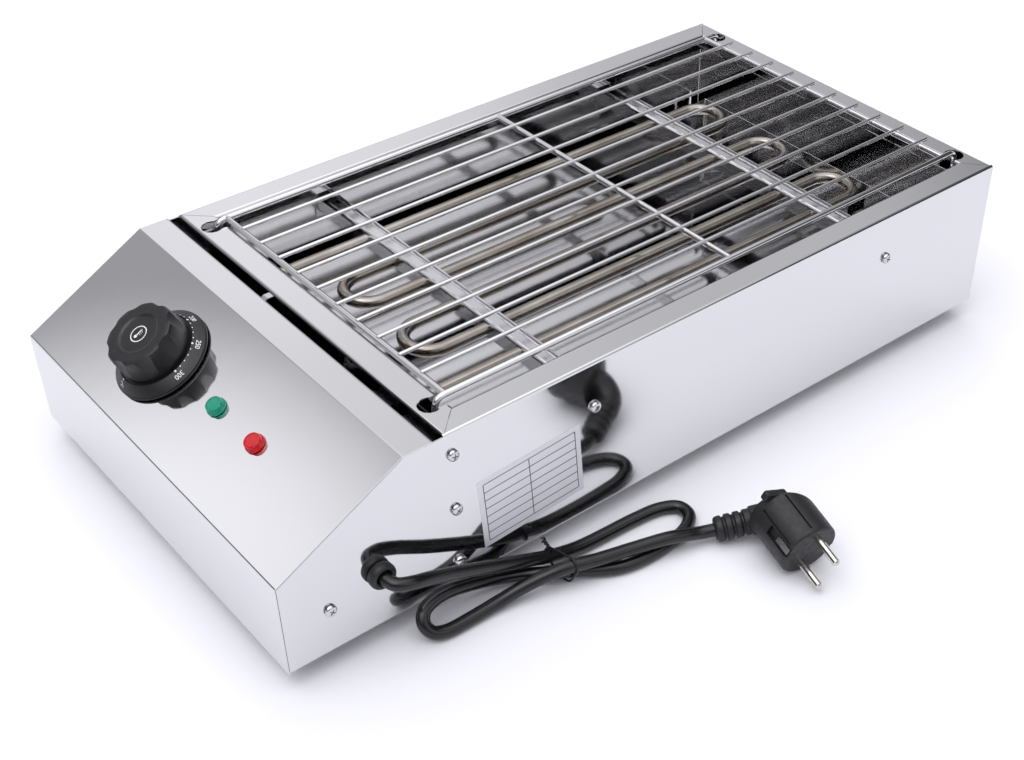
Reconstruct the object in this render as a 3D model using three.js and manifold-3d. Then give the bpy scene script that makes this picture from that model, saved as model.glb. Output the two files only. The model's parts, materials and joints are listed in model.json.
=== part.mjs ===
// Tabletop electric grill: a folded steel casing, a bent heating tube and a lift-off wire grid.
// Millimetres. x runs right seen from the front, y to the rear and z up from the table.
import * as THREE from "three";
import { mergeVertices } from "three/addons/utils/BufferGeometryUtils.js";
import Module from "manifold-3d";

const wasm = await Module();
wasm.setup();

// Driving sizes of the casing.
const width = 280;
const length = 545;
const casingHeight = 105.6;
const footHeight = 13.5;
const frontHeight = 62;
const slopeRun = 80.5;
const topStrip = 19.5;
const ventGap = 6;

// Sheet metal.
const sheet = 0.8;
const bendRadius = 1;
const hem = 12;
const lip = 10;
const bendSteps = 3;
const clearance = 0.3;
const overrun = 3;

// Rim round the grill chamber.
const sideFlange = 17.5;
const frontFlange = 18;
const rearFlange = 15.5;
const seatDepth = 12;
const keyholeRadius = 6.8;
const keyholeInset = 9.2;
const keyholeNeck = 11;
const tabDepth = 14;

// Side screws, and their places from the casing's lower front edge and from the chamber's front.
const screw = { shank: 1.75, length: 7, head: 3.5, headHeight: 2.2, round: 1.1 };
const coverScrew = { inset: 28.8, height: 30 };
const wallScrew = { inset: 4.5, low: 15.8, pitch: 37.6, count: 3 };

// Base plate with the runners of the drip tray, and its air slots under the control box.
const runnerHeight = 8;
const runnerWidth = 12;
const slot = { length: 70, width: 3.4, pitch: 11, count: 4, inset: 22 };

// Drip tray.
const tray = { inset: 9, height: 36.6, frontGap: 4, corner: 2.5 };
const grip = { length: 60, height: 18, drop: 7, depth: 9 };

// Rubber feet.
const foot = {
  sideInset: 28, inset: 27.5, sole: 8.75, rim: 1.1, collar: 12.25, collarDrop: 0.7, collarHeight: 1.4, neck: 6.2,
  head: 8.5, headHeight: 5.9, tip: 4.9, bore: 3.75,
};

// Wire grid.
const frameWire = 2;
const barWire = 1.25;
const frameInset = 8.5;
const bars = { count: 10, front: 1, rear: 2 };
const weld = 0.9;
const cross = { front: 1.5, middle: 5.9, rear: 5.7 };
const legs = { bend: 6, front: 3.3, rear: 0.7 };

// Heating tube.
const tube = { radius: 4, height: 79.7, pitch: 31.5, legs: 6, rear: 71.5, front: 66, coldEnd: 20 };
const holeClearance = 0.4;

// Steel bars that carry the tube.
const rail = { width: 9, top: 85.5, drop: 11.5, lip: 2, front: 99.5, rear: 100 };
const railTab = { depth: 13, drop: 17, screwDrop: 10.5, screwShift: 1 };

// Sealing bushes and pins at the tube's cold ends.
const bush = { wall: 1.7, flange: 8.5, flangeThickness: 2, length: 9 };
const pin = { radius: 1.6, length: 12, bead: 3, beadLength: 4 };

// Knob, on the slope at the dial's centre.
const dialX = -42;
const knob = {
  rim: 30, rimUnder: 1, rimEdge: 1.4, shoulder: 22.4, shoulderHeight: 8.6, top: 21, topHeight: 24.3,
  round: 1.5, recess: 11.7, recessDepth: 0.8, insideRim: 28.2, inside: 18.8, insideHeight: 7.6,
  insideTop: 17.5, roof: 2.4, hub: 6.4, hubUnder: 4, boreTop: 19,
};
const flute = { count: 8, radius: 11.2, turn: Math.PI / 10, leanShare: 0.2 };

// Thermostat behind the slope, with a flattened shaft.
const shaft = { radius: 3, flat: 0.8, length: 26.7, top: 18.7 };
const thermostat = {
  neck: 4.8, neckHeight: 2, plate: 44, width: 24, plateThickness: 1.4, body: 36, depth: 24,
  capsule: 10, capsuleDepth: 4, blade: 6.3, bladeThickness: 0.8, bladeLength: 8, bladeX: 6.5, bladeShift: 14.5,
};
const plateScrew = { shank: 2, length: 6, head: 3.6, headHeight: 2.2, round: 1.1, pitch: 28 };

// Signal lamps.
const lampX = { green: 19, red: 59.5 };
const lamp = {
  lens: 5.9, edge: 1.2, shoulder: 5.2, shoulderHeight: 3.2, crown: 4.1, height: 5, stem: 3.7, stemLength: 8,
  body: 6.2, bodyLength: 20,
};

// Small spring tab in the vent.
const ventTab = { x: -29, width: 5, height: 24 };

// Mains lead, its ring in the side wall and its stop collar inside.
const cord = { radius: 4, sides: 8, step: 8.5 };
const leastCordGap = 0.4;
const ring = { inset: 59.5, height: 38, outer: 8, sleeve: 6.6, face: 6.5, back: 3, round: 2.4 };
const stop = { radius: 7.5, inset: 12, length: 8 };

// The lead's way, chosen by hand: out of the side wall, along the table and back over itself to the plug.
const cordRoute = [
  [116, -213, 51.5], [138, -213, 51.5], [147.5, -213, 51.5], [153.5, -210.5, 51], [156, -203, 49.5],
  [155.5, -192, 45.5], [153.5, -175, 37.5], [152, -128, 16.5], [153.2, -107, 9.3], [154, -88, 5.4],
  [155.5, -46, 4.2], [158, -30, 4.2], [164, -20.5, 4.2], [173, -20.5, 4.2], [180, -29, 4.2],
  [184.5, -53, 4.2], [182, -78, 4.3], [176, -91.5, 5.2], [168, -105, 6.9], [159, -118, 6.2],
  [151, -131, 6.8], [147.5, -146, 10.5], [146.3, -162, 15], [146, -175, 18], [146.8, -186, 18.1],
  [149, -193.5, 15.8], [153, -196.2, 11.2], [157, -193.5, 6.8], [159, -186, 4.7], [159.5, -171, 4.5],
  [160.3, -153, 6], [164, -134, 11], [170.5, -113, 15.4], [175.8, -93, 14], [180.5, -72, 12.8],
  [187, -50, 12.8], [189.6, -40, 11], [192.4, -29, 8.6], [196, -21.5, 9], [198.9, -16.3, 9.96],
];

// Plug: its pin face, the way of its pins and of the line between them, and the mouth of its sleeve.
const plugFace = new THREE.Vector3(250.4, 0, 18.8);
const pinWay = new THREE.Vector3(0.96, -0.16, -0.21).normalize();
const pinLine = new THREE.Vector3(0.25, 0.35, 0.9);
const sleeveMouth = new THREE.Vector3(196, -21.5, 9);
const sleeveWay = new THREE.Vector3(0.48, 0.86, 0.16).normalize();
const plug = {
  radius: 18.5, edge: 0.8, straight: 15, waist: 15.5, waistDepth: 24, back: 9.5, shoulder: 11.5, depth: 36,
  round: 1.6, pinRadius: 2.4, pinLength: 19, pinPitch: 19, pinRound: 1, slotWidth: 6.4, slotDepth: 2.6,
  slotLength: 13, stripWidth: 4, strip: 1.2, stripLength: 11.5,
};
const sleeve = { mouth: 6.4, radius: 7.8, length: 28, groove: 1.2, ribs: 4, ribPitch: 5.4, bore: 9, neck: 9 };
const elbow = [[207, -2, 12.7], [210.6, 4, 14], [216, 8, 17.4], [223, 6.5, 21.4], [229, 4, 23.2]];

// Wire tie round the three runs of the lead, given by their places across x and z.
const tie = { radius: 0.7, reach: 6.4, y: -109.6, spread: 1.8, tail: 7, lean: 3 };
const tiedRuns = [[153.2, 9.9], [165.4, 7.3], [171.6, 15.1]];

// Places worked out from the sizes above.
const halfWidth = width / 2;
const front = -length / 2;
const rear = length / 2;
const under = footHeight;
const top = footHeight + casingHeight;
const slopeTop = front + slopeRun;
const ventFront = slopeTop + topStrip;
const chamberFront = ventFront + ventGap;
const rimSide = halfWidth - sideFlange;
const rimFront = chamberFront + frontFlange;
const rimRear = rear - rearFlange;
const innerHalf = halfWidth - sheet - clearance;
const bendEnd = halfWidth - sheet - bendRadius;
const slopeAngle = Math.atan2(casingHeight - frontHeight, slopeRun);
const slopeMiddle = Math.hypot(casingHeight - frontHeight, slopeRun) / 2;
const floorZ = under + sheet + clearance;
const runnerTop = floorZ + runnerHeight;
const trayUnder = runnerTop + clearance;
const trayTop = trayUnder + tray.height;
const tubeZ = under + tube.height;
const tubeHole = tube.radius + holeClearance;
const wallHole = tubeHole + bush.wall + clearance;
const coldY = chamberFront - tube.coldEnd;
const trayHalf = halfWidth - tray.inset;
const frameWireX = rimSide - frameInset;
const crossWires = [rimFront + cross.front, (rimFront + rimRear) / 2 + cross.middle, rimRear - cross.rear];
const barPitch = (2 * frameWireX) / (bars.count + 1);
const railPlaces = [chamberFront + rail.front, rear - rail.rear];
const frameZ = top + clearance + frameWire;
const barZ = frameZ + frameWire + barWire - weld;
const seatZ = top - lip + sheet;
const ringY = front + ring.inset;
const ringZ = under + ring.height;
const cordHole = cord.radius + clearance;
const backOfSlope = -sheet - clearance;

const planes = {
  xy: new THREE.Matrix4(),
  yz: new THREE.Matrix4().set(0, 0, 1, 0, 1, 0, 0, 0, 0, 1, 0, 0, 0, 0, 0, 1),
  xz: new THREE.Matrix4().set(1, 0, 0, 0, 0, 0, -1, 0, 0, 1, 0, 0, 0, 0, 0, 1),
};
// A frame on the slope: x across, y up the slope from its lower fold, z out of the sheet.
const onSlope = new THREE.Matrix4().makeRotationX(slopeAngle).setPosition(0, front, under + frontHeight);

function toSolid(geometry) {
  const bare = geometry.clone();
  bare.deleteAttribute("normal");
  bare.deleteAttribute("uv");
  const merged = mergeVertices(bare);
  const corners = merged.index.array;
  const faces = [];
  for (let i = 0; i < corners.length; i += 3) {
    const [a, b, c] = [corners[i], corners[i + 1], corners[i + 2]];
    if (a !== b && b !== c && c !== a) faces.push(a, b, c);
  }
  return new wasm.Manifold(new wasm.Mesh({
    numProp: 3,
    vertProperties: merged.attributes.position.array,
    triVerts: Uint32Array.from(faces),
  }));
}

function toGeometry(solid) {
  const mesh = solid.getMesh();
  const geometry = new THREE.BufferGeometry();
  geometry.setAttribute("position", new THREE.BufferAttribute(Float32Array.from(mesh.vertProperties), 3));
  geometry.setIndex(new THREE.BufferAttribute(Uint32Array.from(mesh.triVerts), 1));
  return geometry;
}

function join(...geometries) {
  return toGeometry(geometries.map(toSolid).reduce((all, one) => all.add(one)));
}

function cut(geometry, ...tools) {
  return toGeometry(tools.map(toSolid).reduce((left, tool) => left.subtract(tool), toSolid(geometry)));
}

// An outline in one plane, drawn out along the third axis between two places.
function prism(plane, outline, from, to) {
  const shape = new THREE.Shape(outline.map(([u, v]) => new THREE.Vector2(u, v)));
  const drawn = new THREE.ExtrudeGeometry(shape, { depth: to - from, bevelEnabled: false });
  drawn.translate(0, 0, plane === "xz" ? -to : from);
  return drawn.applyMatrix4(planes[plane]);
}

function box([x0, x1], [y0, y1], [z0, z1]) {
  return prism("xy", [[x0, y0], [x1, y0], [x1, y1], [x0, y1]], z0, z1);
}

// The same box on both sides of the middle, or on one side.
function sideBox(side, [near, far], along, upward) {
  return box([side * near, side * far].sort((a, b) => a - b), along, upward);
}

function circle(u, v, radius, steps) {
  return Array.from({ length: steps }, (_, i) => {
    const angle = (i / steps) * 2 * Math.PI;
    return [u + radius * Math.cos(angle), v + radius * Math.sin(angle)];
  });
}

// A round rod along x, y or z.
function rod(axis, [u, v], radius, [from, to], steps = 16) {
  const plane = { x: "yz", y: "xz", z: "xy" }[axis];
  return prism(plane, circle(u, v, radius, steps), from, to);
}

// A profile of [radius, height] turned round the z axis.
function turned(profile, steps = 24) {
  const geometry = new THREE.LatheGeometry(profile.map(([r, z]) => new THREE.Vector2(r, z)), steps);
  geometry.rotateX(Math.PI / 2);
  const solid = toSolid(geometry);
  if (solid.volume() > 0) return toGeometry(solid);
  geometry.index.array.reverse();
  return toGeometry(toSolid(geometry));
}

// Points of a quarter round from one point to another about a centre, as [radius, height].
function quarter([r, z], radius, from, steps = 3) {
  return Array.from({ length: steps + 1 }, (_, i) => {
    const angle = from + ((i / steps) * Math.PI) / 2;
    return [r + radius * Math.cos(angle), z + radius * Math.sin(angle)];
  });
}

// The open line beside another, to its left when the distance is positive.
function beside(points, distance) {
  const ways = points.slice(1).map((point, i) => point.clone().sub(points[i]).normalize());
  const leftOf = ways.map((way) => new THREE.Vector2(-way.y, way.x));
  return points.map((point, i) => {
    const before = leftOf[Math.max(i - 1, 0)];
    const after = leftOf[Math.min(i, leftOf.length - 1)];
    const normal = before.clone().add(after).normalize();
    return point.clone().addScaledVector(normal, distance / normal.dot(before));
  });
}

// An open line with its corners rounded, by one radius on left turns and another on right ones.
function rounded(points, leftRadius, rightRadius) {
  const line = [points[0]];
  for (let i = 1; i < points.length - 1; i += 1) {
    const way = points[i].clone().sub(points[i - 1]).normalize();
    const next = points[i + 1].clone().sub(points[i]).normalize();
    const side = Math.sign(way.cross(next));
    const turn = Math.acos(way.dot(next)) * side;
    const radius = side > 0 ? leftRadius : rightRadius;
    const start = points[i].clone().addScaledVector(way, -radius * Math.tan(Math.abs(turn) / 2));
    const centre = start.clone().addScaledVector(new THREE.Vector2(-way.y, way.x), side * radius);
    for (let k = 0; k <= bendSteps; k += 1) {
      line.push(start.clone().rotateAround(centre, (turn * k) / bendSteps));
    }
  }
  line.push(points[points.length - 1]);
  return line;
}

// Outline of folded sheet along its outer face. side is 1 with the metal on the line's left, else -1.
function folded(line, side) {
  const face = line.map(([u, v]) => new THREE.Vector2(u, v));
  const back = beside(face, sheet * side);
  const wide = bendRadius + sheet;
  const [left, right] = side > 0 ? [wide, bendRadius] : [bendRadius, wide];
  const outline = [...rounded(face, left, right), ...rounded(back, right, left).reverse()];
  return outline.map((point) => point.toArray());
}

// A way through given stops, with one section square to it at each stop.
class Way extends THREE.Curve {
  constructor(stops) {
    super();
    this.stops = stops.map((stop) => new THREE.Vector3(...stop));
  }

  getPointAt(share) {
    return this.stops[Math.round(share * (this.stops.length - 1))].clone();
  }

  getTangentAt(share) {
    const i = Math.round(share * (this.stops.length - 1));
    const way = new THREE.Vector3();
    if (i > 0) way.add(this.stops[i].clone().sub(this.stops[i - 1]).normalize());
    if (i < this.stops.length - 1) way.add(this.stops[i + 1].clone().sub(this.stops[i]).normalize());
    return way.normalize();
  }

  getSpacedPoints() {
    return this.stops.map((stop) => stop.clone());
  }
}

// A round wire, tube or lead through given stops.
function wire(stops, radius, sides = 8) {
  const shape = new THREE.Shape(circle(0, 0, radius, sides).map(([u, v]) => new THREE.Vector2(u, v)));
  return new THREE.ExtrudeGeometry(shape, { steps: stops.length - 1, extrudePath: new Way(stops) });
}

// Points round part of a circle in any plane; u and v are its centre.
function arc([u, v], radius, from, to, steps) {
  return Array.from({ length: steps + 1 }, (_, i) => {
    const angle = from + ((to - from) * i) / steps;
    return [u + radius * Math.cos(angle), v + radius * Math.sin(angle)];
  });
}

// A geometry made round the z axis, set with its origin at a place and that axis along a direction.
function aim(geometry, place, direction) {
  const turn = new THREE.Quaternion().setFromUnitVectors(new THREE.Vector3(0, 0, 1), direction);
  return geometry.applyQuaternion(turn).translate(...place.toArray());
}

// A geometry made on the slope's own axes, with its origin on the middle line at a place along x.
function onSlopeAt(geometry, x) {
  return geometry.translate(x, slopeMiddle, 0).applyMatrix4(onSlope);
}

// Cuts a rim flange, its lip and its seat back along the two corner seams.
function mitred(geometry, edge, depth) {
  const inward = Math.sign(-edge);
  const seamX = (reach) => halfWidth - (reach * sideFlange) / depth - clearance * Math.SQRT2;
  const bendReach = ((halfWidth - bendEnd) * depth) / sideFlange;
  const far = depth + overrun;
  const tools = [1, -1].flatMap((side) => {
    const flange = [[seamX(bendReach), bendReach], [seamX(far), far], [halfWidth, far], [halfWidth, bendReach]];
    const corner = [[seamX(bendReach), -overrun], [seamX(bendReach), bendReach + clearance],
      [halfWidth, bendReach + clearance], [halfWidth, -overrun]];
    const placed = (outline) => outline.map(([x, reach]) => [side * x, edge + inward * reach]);
    return [
      prism("xy", placed(flange), top - lip - overrun, top + overrun),
      prism("xy", placed(corner), top - sheet - bendRadius - clearance, top + overrun),
    ];
  });
  return cut(geometry, ...tools);
}

// Round holes in a rim flange, open to the chamber, for the grid's legs.
function keyholes(edge, rim) {
  const inward = Math.sign(-edge);
  const y = edge + inward * keyholeInset;
  const along = [y, rim + inward * overrun].sort((a, b) => a - b);
  return [1, -1].flatMap((side) => [
    rod("z", [side * frameWireX, y], keyholeRadius, [top - sheet - overrun, top + overrun], 12),
    sideBox(side, [frameWireX - keyholeNeck / 2, frameWireX + keyholeNeck / 2], along,
      [seatZ + bendRadius, top + overrun]),
  ]);
}

// Places along y and z of the screws through each side wall.
function sideScrewPlaces() {
  const onWall = Array.from({ length: wallScrew.count }, (_, i) => (
    [chamberFront + wallScrew.inset, under + wallScrew.low + i * wallScrew.pitch]));
  const onRails = railPlaces.map((y) => (
    [y + railTab.screwShift, under + rail.top - railTab.screwDrop]));
  return [[front + coverScrew.inset, under + coverScrew.height], ...onWall, ...onRails];
}

function screwHoles(radius = screw.shank + clearance) {
  return sideScrewPlaces().map((place) => rod("x", place, radius,
    [-halfWidth - overrun, halfWidth + overrun], 8));
}

function sidePanel(side) {
  const line = [
    [rimSide, top - lip], [rimSide, top], [halfWidth, top], [halfWidth, under], [halfWidth - hem, under],
  ].map(([x, z]) => [side * x, z]);
  const panel = prism("xz", folded(line, -side), front, rear);
  const coverLine = [
    [front, under - overrun], [front, under + frontHeight], [slopeTop, top], [chamberFront, top],
  ].map(([y, z]) => new THREE.Vector2(y, z));
  const aboveCover = prism("yz", [
    ...beside(coverLine, -sheet - clearance).map((point) => point.toArray()),
    [chamberFront, top + overrun], [front - overrun, top + overrun], [front - overrun, under - overrun],
  ], -halfWidth - overrun, halfWidth + overrun);
  const rimEnd = (edge, depth) => {
    const inward = Math.sign(-edge);
    const outline = [
      [bendEnd, -overrun - length], [bendEnd, ((halfWidth - bendEnd) * depth) / sideFlange],
      [rimSide - overrun, ((sideFlange + overrun) * depth) / sideFlange], [rimSide - overrun, -overrun - length],
    ];
    return prism("xy", outline.map(([x, reach]) => [side * x, edge + inward * reach]),
      top - lip - overrun, top + overrun);
  };
  const hemEnd = (edge) => {
    const outward = Math.sign(edge);
    return sideBox(side, [halfWidth - hem - overrun, bendEnd],
      [edge + outward * overrun, edge - outward * (hem + clearance)].sort((a, b) => a - b),
      [under - overrun, under + sheet + overrun]);
  };
  const tools = [aboveCover, rimEnd(chamberFront, frontFlange), rimEnd(rear, rearFlange),
    hemEnd(front), hemEnd(rear), ...screwHoles()];
  if (side > 0) tools.push(rod("x", [ringY, ringZ], ring.sleeve + clearance, [0, halfWidth + overrun]));
  return cut(panel, ...tools);
}

function rearPanel() {
  const line = [
    [rimRear + seatDepth, top - lip], [rimRear, top - lip], [rimRear, top], [rear, top], [rear, under],
    [rear - hem, under],
  ];
  const panel = prism("yz", folded(line, -1), -innerHalf, innerHalf);
  const opening = box([-trayHalf - clearance, trayHalf + clearance],
    [rear - sheet - bendRadius, rear + overrun], [runnerTop, trayTop + clearance]);
  const hemEnds = [1, -1].map((side) => sideBox(side, [bendEnd - clearance, halfWidth],
    [rear - hem - overrun, rear + overrun], [under - overrun, under + sheet + bendRadius]));
  return cut(mitred(panel, rear, rearFlange), opening, ...hemEnds, ...keyholes(rear, rimRear));
}

function chamberWall() {
  const line = [
    [rimFront - seatDepth, top - lip], [rimFront, top - lip], [rimFront, top], [chamberFront, top],
    [chamberFront, floorZ + sheet + clearance],
  ];
  const panel = prism("yz", folded(line, 1), -innerHalf, innerHalf);
  const tabs = [1, -1].map((side) => sideBox(side, [innerHalf - sheet, innerHalf],
    [chamberFront + sheet / 2, chamberFront + tabDepth], [runnerTop + 2 * clearance, top - lip - clearance]));
  const runnerWays = [1, -1].map((side) => sideBox(side, [innerHalf - runnerWidth - clearance, halfWidth],
    [chamberFront - overrun, chamberFront + overrun], [under, runnerTop + clearance]));
  const tubeHoles = [1, -1].map((side) => rod("y", [side * legX(tube.legs - 1), tubeZ], wallHole,
    [chamberFront - overrun, chamberFront + overrun]));
  return cut(mitred(join(panel, ...tabs), chamberFront, frontFlange), ...runnerWays, ...screwHoles(),
    ...tubeHoles, ...keyholes(chamberFront, rimFront));
}

function controlCover() {
  const line = [
    [front + hem, under], [front, under], [front, under + frontHeight], [slopeTop, top], [ventFront, top],
    [ventFront, top - lip],
  ];
  const panel = prism("yz", folded(line, -1), -halfWidth, halfWidth);
  const trims = [1, -1].flatMap((side) => [
    sideBox(side, [bendEnd - clearance, halfWidth + overrun], [front + sheet, front + hem + overrun],
      [under - overrun, under + sheet + bendRadius]),
    sideBox(side, [innerHalf, halfWidth + overrun], [ventFront - sheet - bendRadius, ventFront + overrun],
      [top - lip - overrun, top - sheet]),
  ]);
  const across = [-sheet - overrun, overrun];
  const plateHoles = [1, -1].map((way) => onSlopeAt(
    rod("z", [0, (way * plateScrew.pitch) / 2], plateScrew.shank + clearance, across, 8), dialX));
  const lampHoles = Object.values(lampX).map((x) => onSlopeAt(rod("z", [0, 0], lamp.stem + clearance, across), x));
  const shaftHole = onSlopeAt(rod("z", [0, 0], thermostat.neck + clearance, across), dialX);
  return cut(panel, ...trims, shaftHole, ...plateHoles, ...lampHoles);
}

function basePlate() {
  const line = [
    [-innerHalf + runnerWidth, runnerTop], [-innerHalf, runnerTop], [-innerHalf, floorZ], [innerHalf, floorZ],
    [innerHalf, runnerTop], [innerHalf - runnerWidth, runnerTop],
  ];
  const end = length / 2 - sheet - 2 * bendRadius;
  const plate = prism("xz", folded(line, 1), -end, end);
  const through = [under, runnerTop];
  const footHoles = footPlaces().map((place) => rod("z", place, foot.neck + clearance, through));
  const slots = Array.from({ length: slot.count }, (_, i) => {
    const y = front + slot.inset + i * slot.pitch;
    return box([-slot.length / 2, slot.length / 2], [y, y + slot.width], [under, floorZ + sheet + overrun]);
  });
  return cut(plate, ...footHoles, ...slots);
}

function roundedRectangle([x0, x1], [y0, y1], radius) {
  const corners = [[x1, y1], [x0, y1], [x0, y0], [x1, y0]];
  return corners.flatMap(([x, y], i) => arc(
    [x - Math.sign(x - x0 - (x1 - x0) / 2) * radius, y - Math.sign(y - y0 - (y1 - y0) / 2) * radius],
    radius, (i * Math.PI) / 2, ((i + 1) * Math.PI) / 2, bendSteps));
}

function dripTray() {
  const half = trayHalf;
  const nose = chamberFront + tray.frontGap;
  const outer = prism("xy", roundedRectangle([-half, half], [nose, rear], tray.corner), trayUnder, trayTop);
  const inner = prism("xy", roundedRectangle([-half + sheet, half - sheet], [nose + sheet, rear - sheet],
    tray.corner - sheet), trayUnder + sheet, trayTop + overrun);
  const gripTop = trayTop - grip.drop;
  const bulge = box([-grip.length / 2 - sheet, grip.length / 2 + sheet],
    [rear - grip.depth - sheet, rear - sheet / 2],
    [gripTop - grip.height - sheet, gripTop + sheet]);
  const pocket = box([-grip.length / 2, grip.length / 2], [rear - grip.depth, rear + overrun],
    [gripTop - grip.height, gripTop]);
  return cut(join(cut(outer, inner), bulge), pocket);
}

function footPlaces() {
  return [front + foot.inset, rear - foot.inset].flatMap((y) => (
    [-1, 1].map((side) => [side * (halfWidth - foot.sideInset), y])));
}

function rubberFoot([x, y]) {
  const neckFrom = floorZ - clearance;
  const neckTo = floorZ + sheet + clearance;
  return turned([
    [foot.bore, 0], [foot.sole - foot.rim, 0], [foot.sole, foot.rim],
    [foot.collar, neckFrom - foot.collarHeight], [foot.collar, neckFrom - foot.collarDrop],
    [foot.collar - foot.collarDrop, neckFrom], [foot.neck, neckFrom], [foot.neck, neckTo], [foot.head, neckTo],
    [foot.head, neckTo + foot.rim], [foot.tip, neckTo + foot.headHeight], [foot.bore, neckTo + foot.headHeight],
    [foot.bore, 0],
  ], 12).translate(x, y, 0);
}

function cookingGrid() {
  const legFoot = seatZ + clearance;
  const legFront = chamberFront + keyholeInset + legs.front;
  const legRear = rear - keyholeInset + legs.rear;
  const bent = (side) => {
    const x = side * frameWireX;
    const centreZ = frameZ - legs.bend;
    const atFront = arc([legFront + legs.bend, centreZ], legs.bend, Math.PI, Math.PI / 2, 3);
    const atRear = arc([legRear - legs.bend, centreZ], legs.bend, Math.PI / 2, 0, 3);
    const line = [[legFront, legFoot], ...atFront, ...atRear, [legRear, legFoot]];
    return wire(line.map(([y, z]) => [x, y, z]), frameWire, 8);
  };
  const across = crossWires.map((y) => rod("x", [y, frameZ], frameWire, [-frameWireX, frameWireX], 8));
  const inner = Array.from({ length: bars.count }, (_, i) => rod("y",
    [(i + 1) * barPitch - frameWireX, barZ], barWire, [rimFront + bars.front, rimRear + bars.rear], 6));
  return join(bent(1), bent(-1), ...across, ...inner);
}

function legX(i) {
  return (i - (tube.legs - 1) / 2) * tube.pitch;
}

function heatingElement() {
  const stops = [[legX(0), coldY, tubeZ]];
  for (let i = 0; i < tube.legs - 1; i += 1) {
    const atRear = i % 2 === 0;
    const centre = [(legX(i) + legX(i + 1)) / 2, atRear ? rear - tube.rear : chamberFront + tube.front];
    const bend = arc(centre, tube.pitch / 2, atRear ? Math.PI : -Math.PI, 0, 8);
    stops.push(...bend.map(([x, y]) => [x, y, tubeZ]));
  }
  stops.push([legX(tube.legs - 1), coldY, tubeZ]);
  return wire(stops, tube.radius, 8);
}

function elementBar(y) {
  const railTop = under + rail.top;
  const line = [
    [y - rail.width / 2, railTop - rail.drop], [y - rail.width / 2, railTop], [y + rail.width / 2, railTop],
    [y + rail.width / 2, railTop + rail.lip],
  ];
  const long = innerHalf - sheet / 2;
  const strip = prism("yz", folded(line, -1), -long, long);
  const tabs = [1, -1].map((side) => sideBox(side, [innerHalf - sheet, innerHalf],
    [y + railTab.screwShift - railTab.depth / 2, y + railTab.screwShift + railTab.depth / 2],
    [railTop - railTab.drop, railTop]));
  const holes = Array.from({ length: tube.legs }, (_, i) => rod("y", [legX(i), tubeZ], tubeHole,
    [y - rail.width, y], 10));
  return cut(join(strip, ...tabs), ...holes, ...screwHoles());
}

function elementBush(side) {
  const flangeY = chamberFront - clearance;
  const profile = [
    [tubeHole, -bush.flangeThickness], [bush.flange, -bush.flangeThickness], [bush.flange, 0],
    [tubeHole + bush.wall, 0], [tubeHole + bush.wall, bush.length], [tubeHole, bush.length],
    [tubeHole, -bush.flangeThickness],
  ];
  return aim(turned(profile, 16), new THREE.Vector3(side * legX(tube.legs - 1), flangeY, tubeZ),
    new THREE.Vector3(0, 1, 0));
}

function elementTerminal(side) {
  const profile = [
    [0, 0], [pin.bead, 0], [pin.bead, pin.beadLength], [pin.radius, pin.beadLength],
    [pin.radius, pin.beadLength + pin.length], [0, pin.beadLength + pin.length],
  ];
  return aim(turned(profile, 16), new THREE.Vector3(side * legX(tube.legs - 1), coldY - clearance, tubeZ),
    new THREE.Vector3(0, -1, 0));
}

function knobBody() {
  const underside = knob.topHeight - knob.recessDepth - knob.roof;
  const profile = [
    [0, knob.boreTop], [shaft.radius + clearance, knob.boreTop], [shaft.radius + clearance, knob.hubUnder],
    [knob.hub, knob.hubUnder], [knob.hub, underside], [knob.insideTop, underside],
    [knob.inside, knob.insideHeight], [knob.insideRim, knob.rimUnder], [knob.rim, knob.rimUnder],
    [knob.rim, knob.rimUnder + knob.rimEdge], [knob.shoulder, knob.shoulderHeight],
    ...quarter([knob.top - knob.round, knob.topHeight - knob.round], knob.round, 0),
    [knob.recess, knob.topHeight], [knob.recess, knob.topHeight - knob.recessDepth],
    [0, knob.topHeight - knob.recessDepth],
  ];
  const start = knob.shoulder + flute.radius + flute.leanShare * knob.shoulderHeight;
  const lean = new THREE.Matrix4().makeShear(0, 0, 0, 0, -flute.leanShare, 0);
  const flutes = Array.from({ length: flute.count }, (_, i) => rod("z", [start, 0], flute.radius,
    [knob.shoulderHeight, knob.topHeight + overrun], 18)
    .applyMatrix4(lean)
    .rotateZ(flute.turn + (i / flute.count) * 2 * Math.PI));
  return onSlopeAt(cut(turned(profile, 32), ...flutes), dialX);
}

function thermostatBody() {
  const plateTop = backOfSlope;
  const bodyTop = plateTop - thermostat.plateThickness;
  const bodyEnd = bodyTop - thermostat.depth;
  const halfX = thermostat.width / 2;
  const plate = box([-halfX, halfX], [-thermostat.plate / 2, thermostat.plate / 2], [bodyTop, plateTop]);
  const body = box([-halfX, halfX], [-thermostat.body / 2, thermostat.body / 2], [bodyEnd, bodyTop + weld]);
  const neck = rod("z", [0, 0], thermostat.neck, [bodyTop, thermostat.neckHeight]);
  const capsule = rod("z", [0, 0], thermostat.capsule, [bodyEnd - thermostat.capsuleDepth, bodyEnd + overrun]);
  const blades = [-1, 1].flatMap((side) => [-1, 1].map((way) => box(
    [side * thermostat.bladeX - thermostat.blade / 2, side * thermostat.bladeX + thermostat.blade / 2],
    [way * thermostat.bladeShift - thermostat.bladeThickness / 2,
      way * thermostat.bladeShift + thermostat.bladeThickness / 2],
    [bodyEnd - thermostat.bladeLength, bodyEnd + overrun])));
  const shaftWay = rod("z", [0, 0], shaft.radius + clearance,
    [shaft.top - shaft.length - clearance, thermostat.neckHeight + overrun]);
  const screwWays = [1, -1].map((way) => rod("z", [0, (way * plateScrew.pitch) / 2],
    plateScrew.shank + clearance, [-plateScrew.length - overrun, overrun], 12));
  return onSlopeAt(cut(join(body, plate, neck, capsule, ...blades), shaftWay, ...screwWays), dialX);
}

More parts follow.
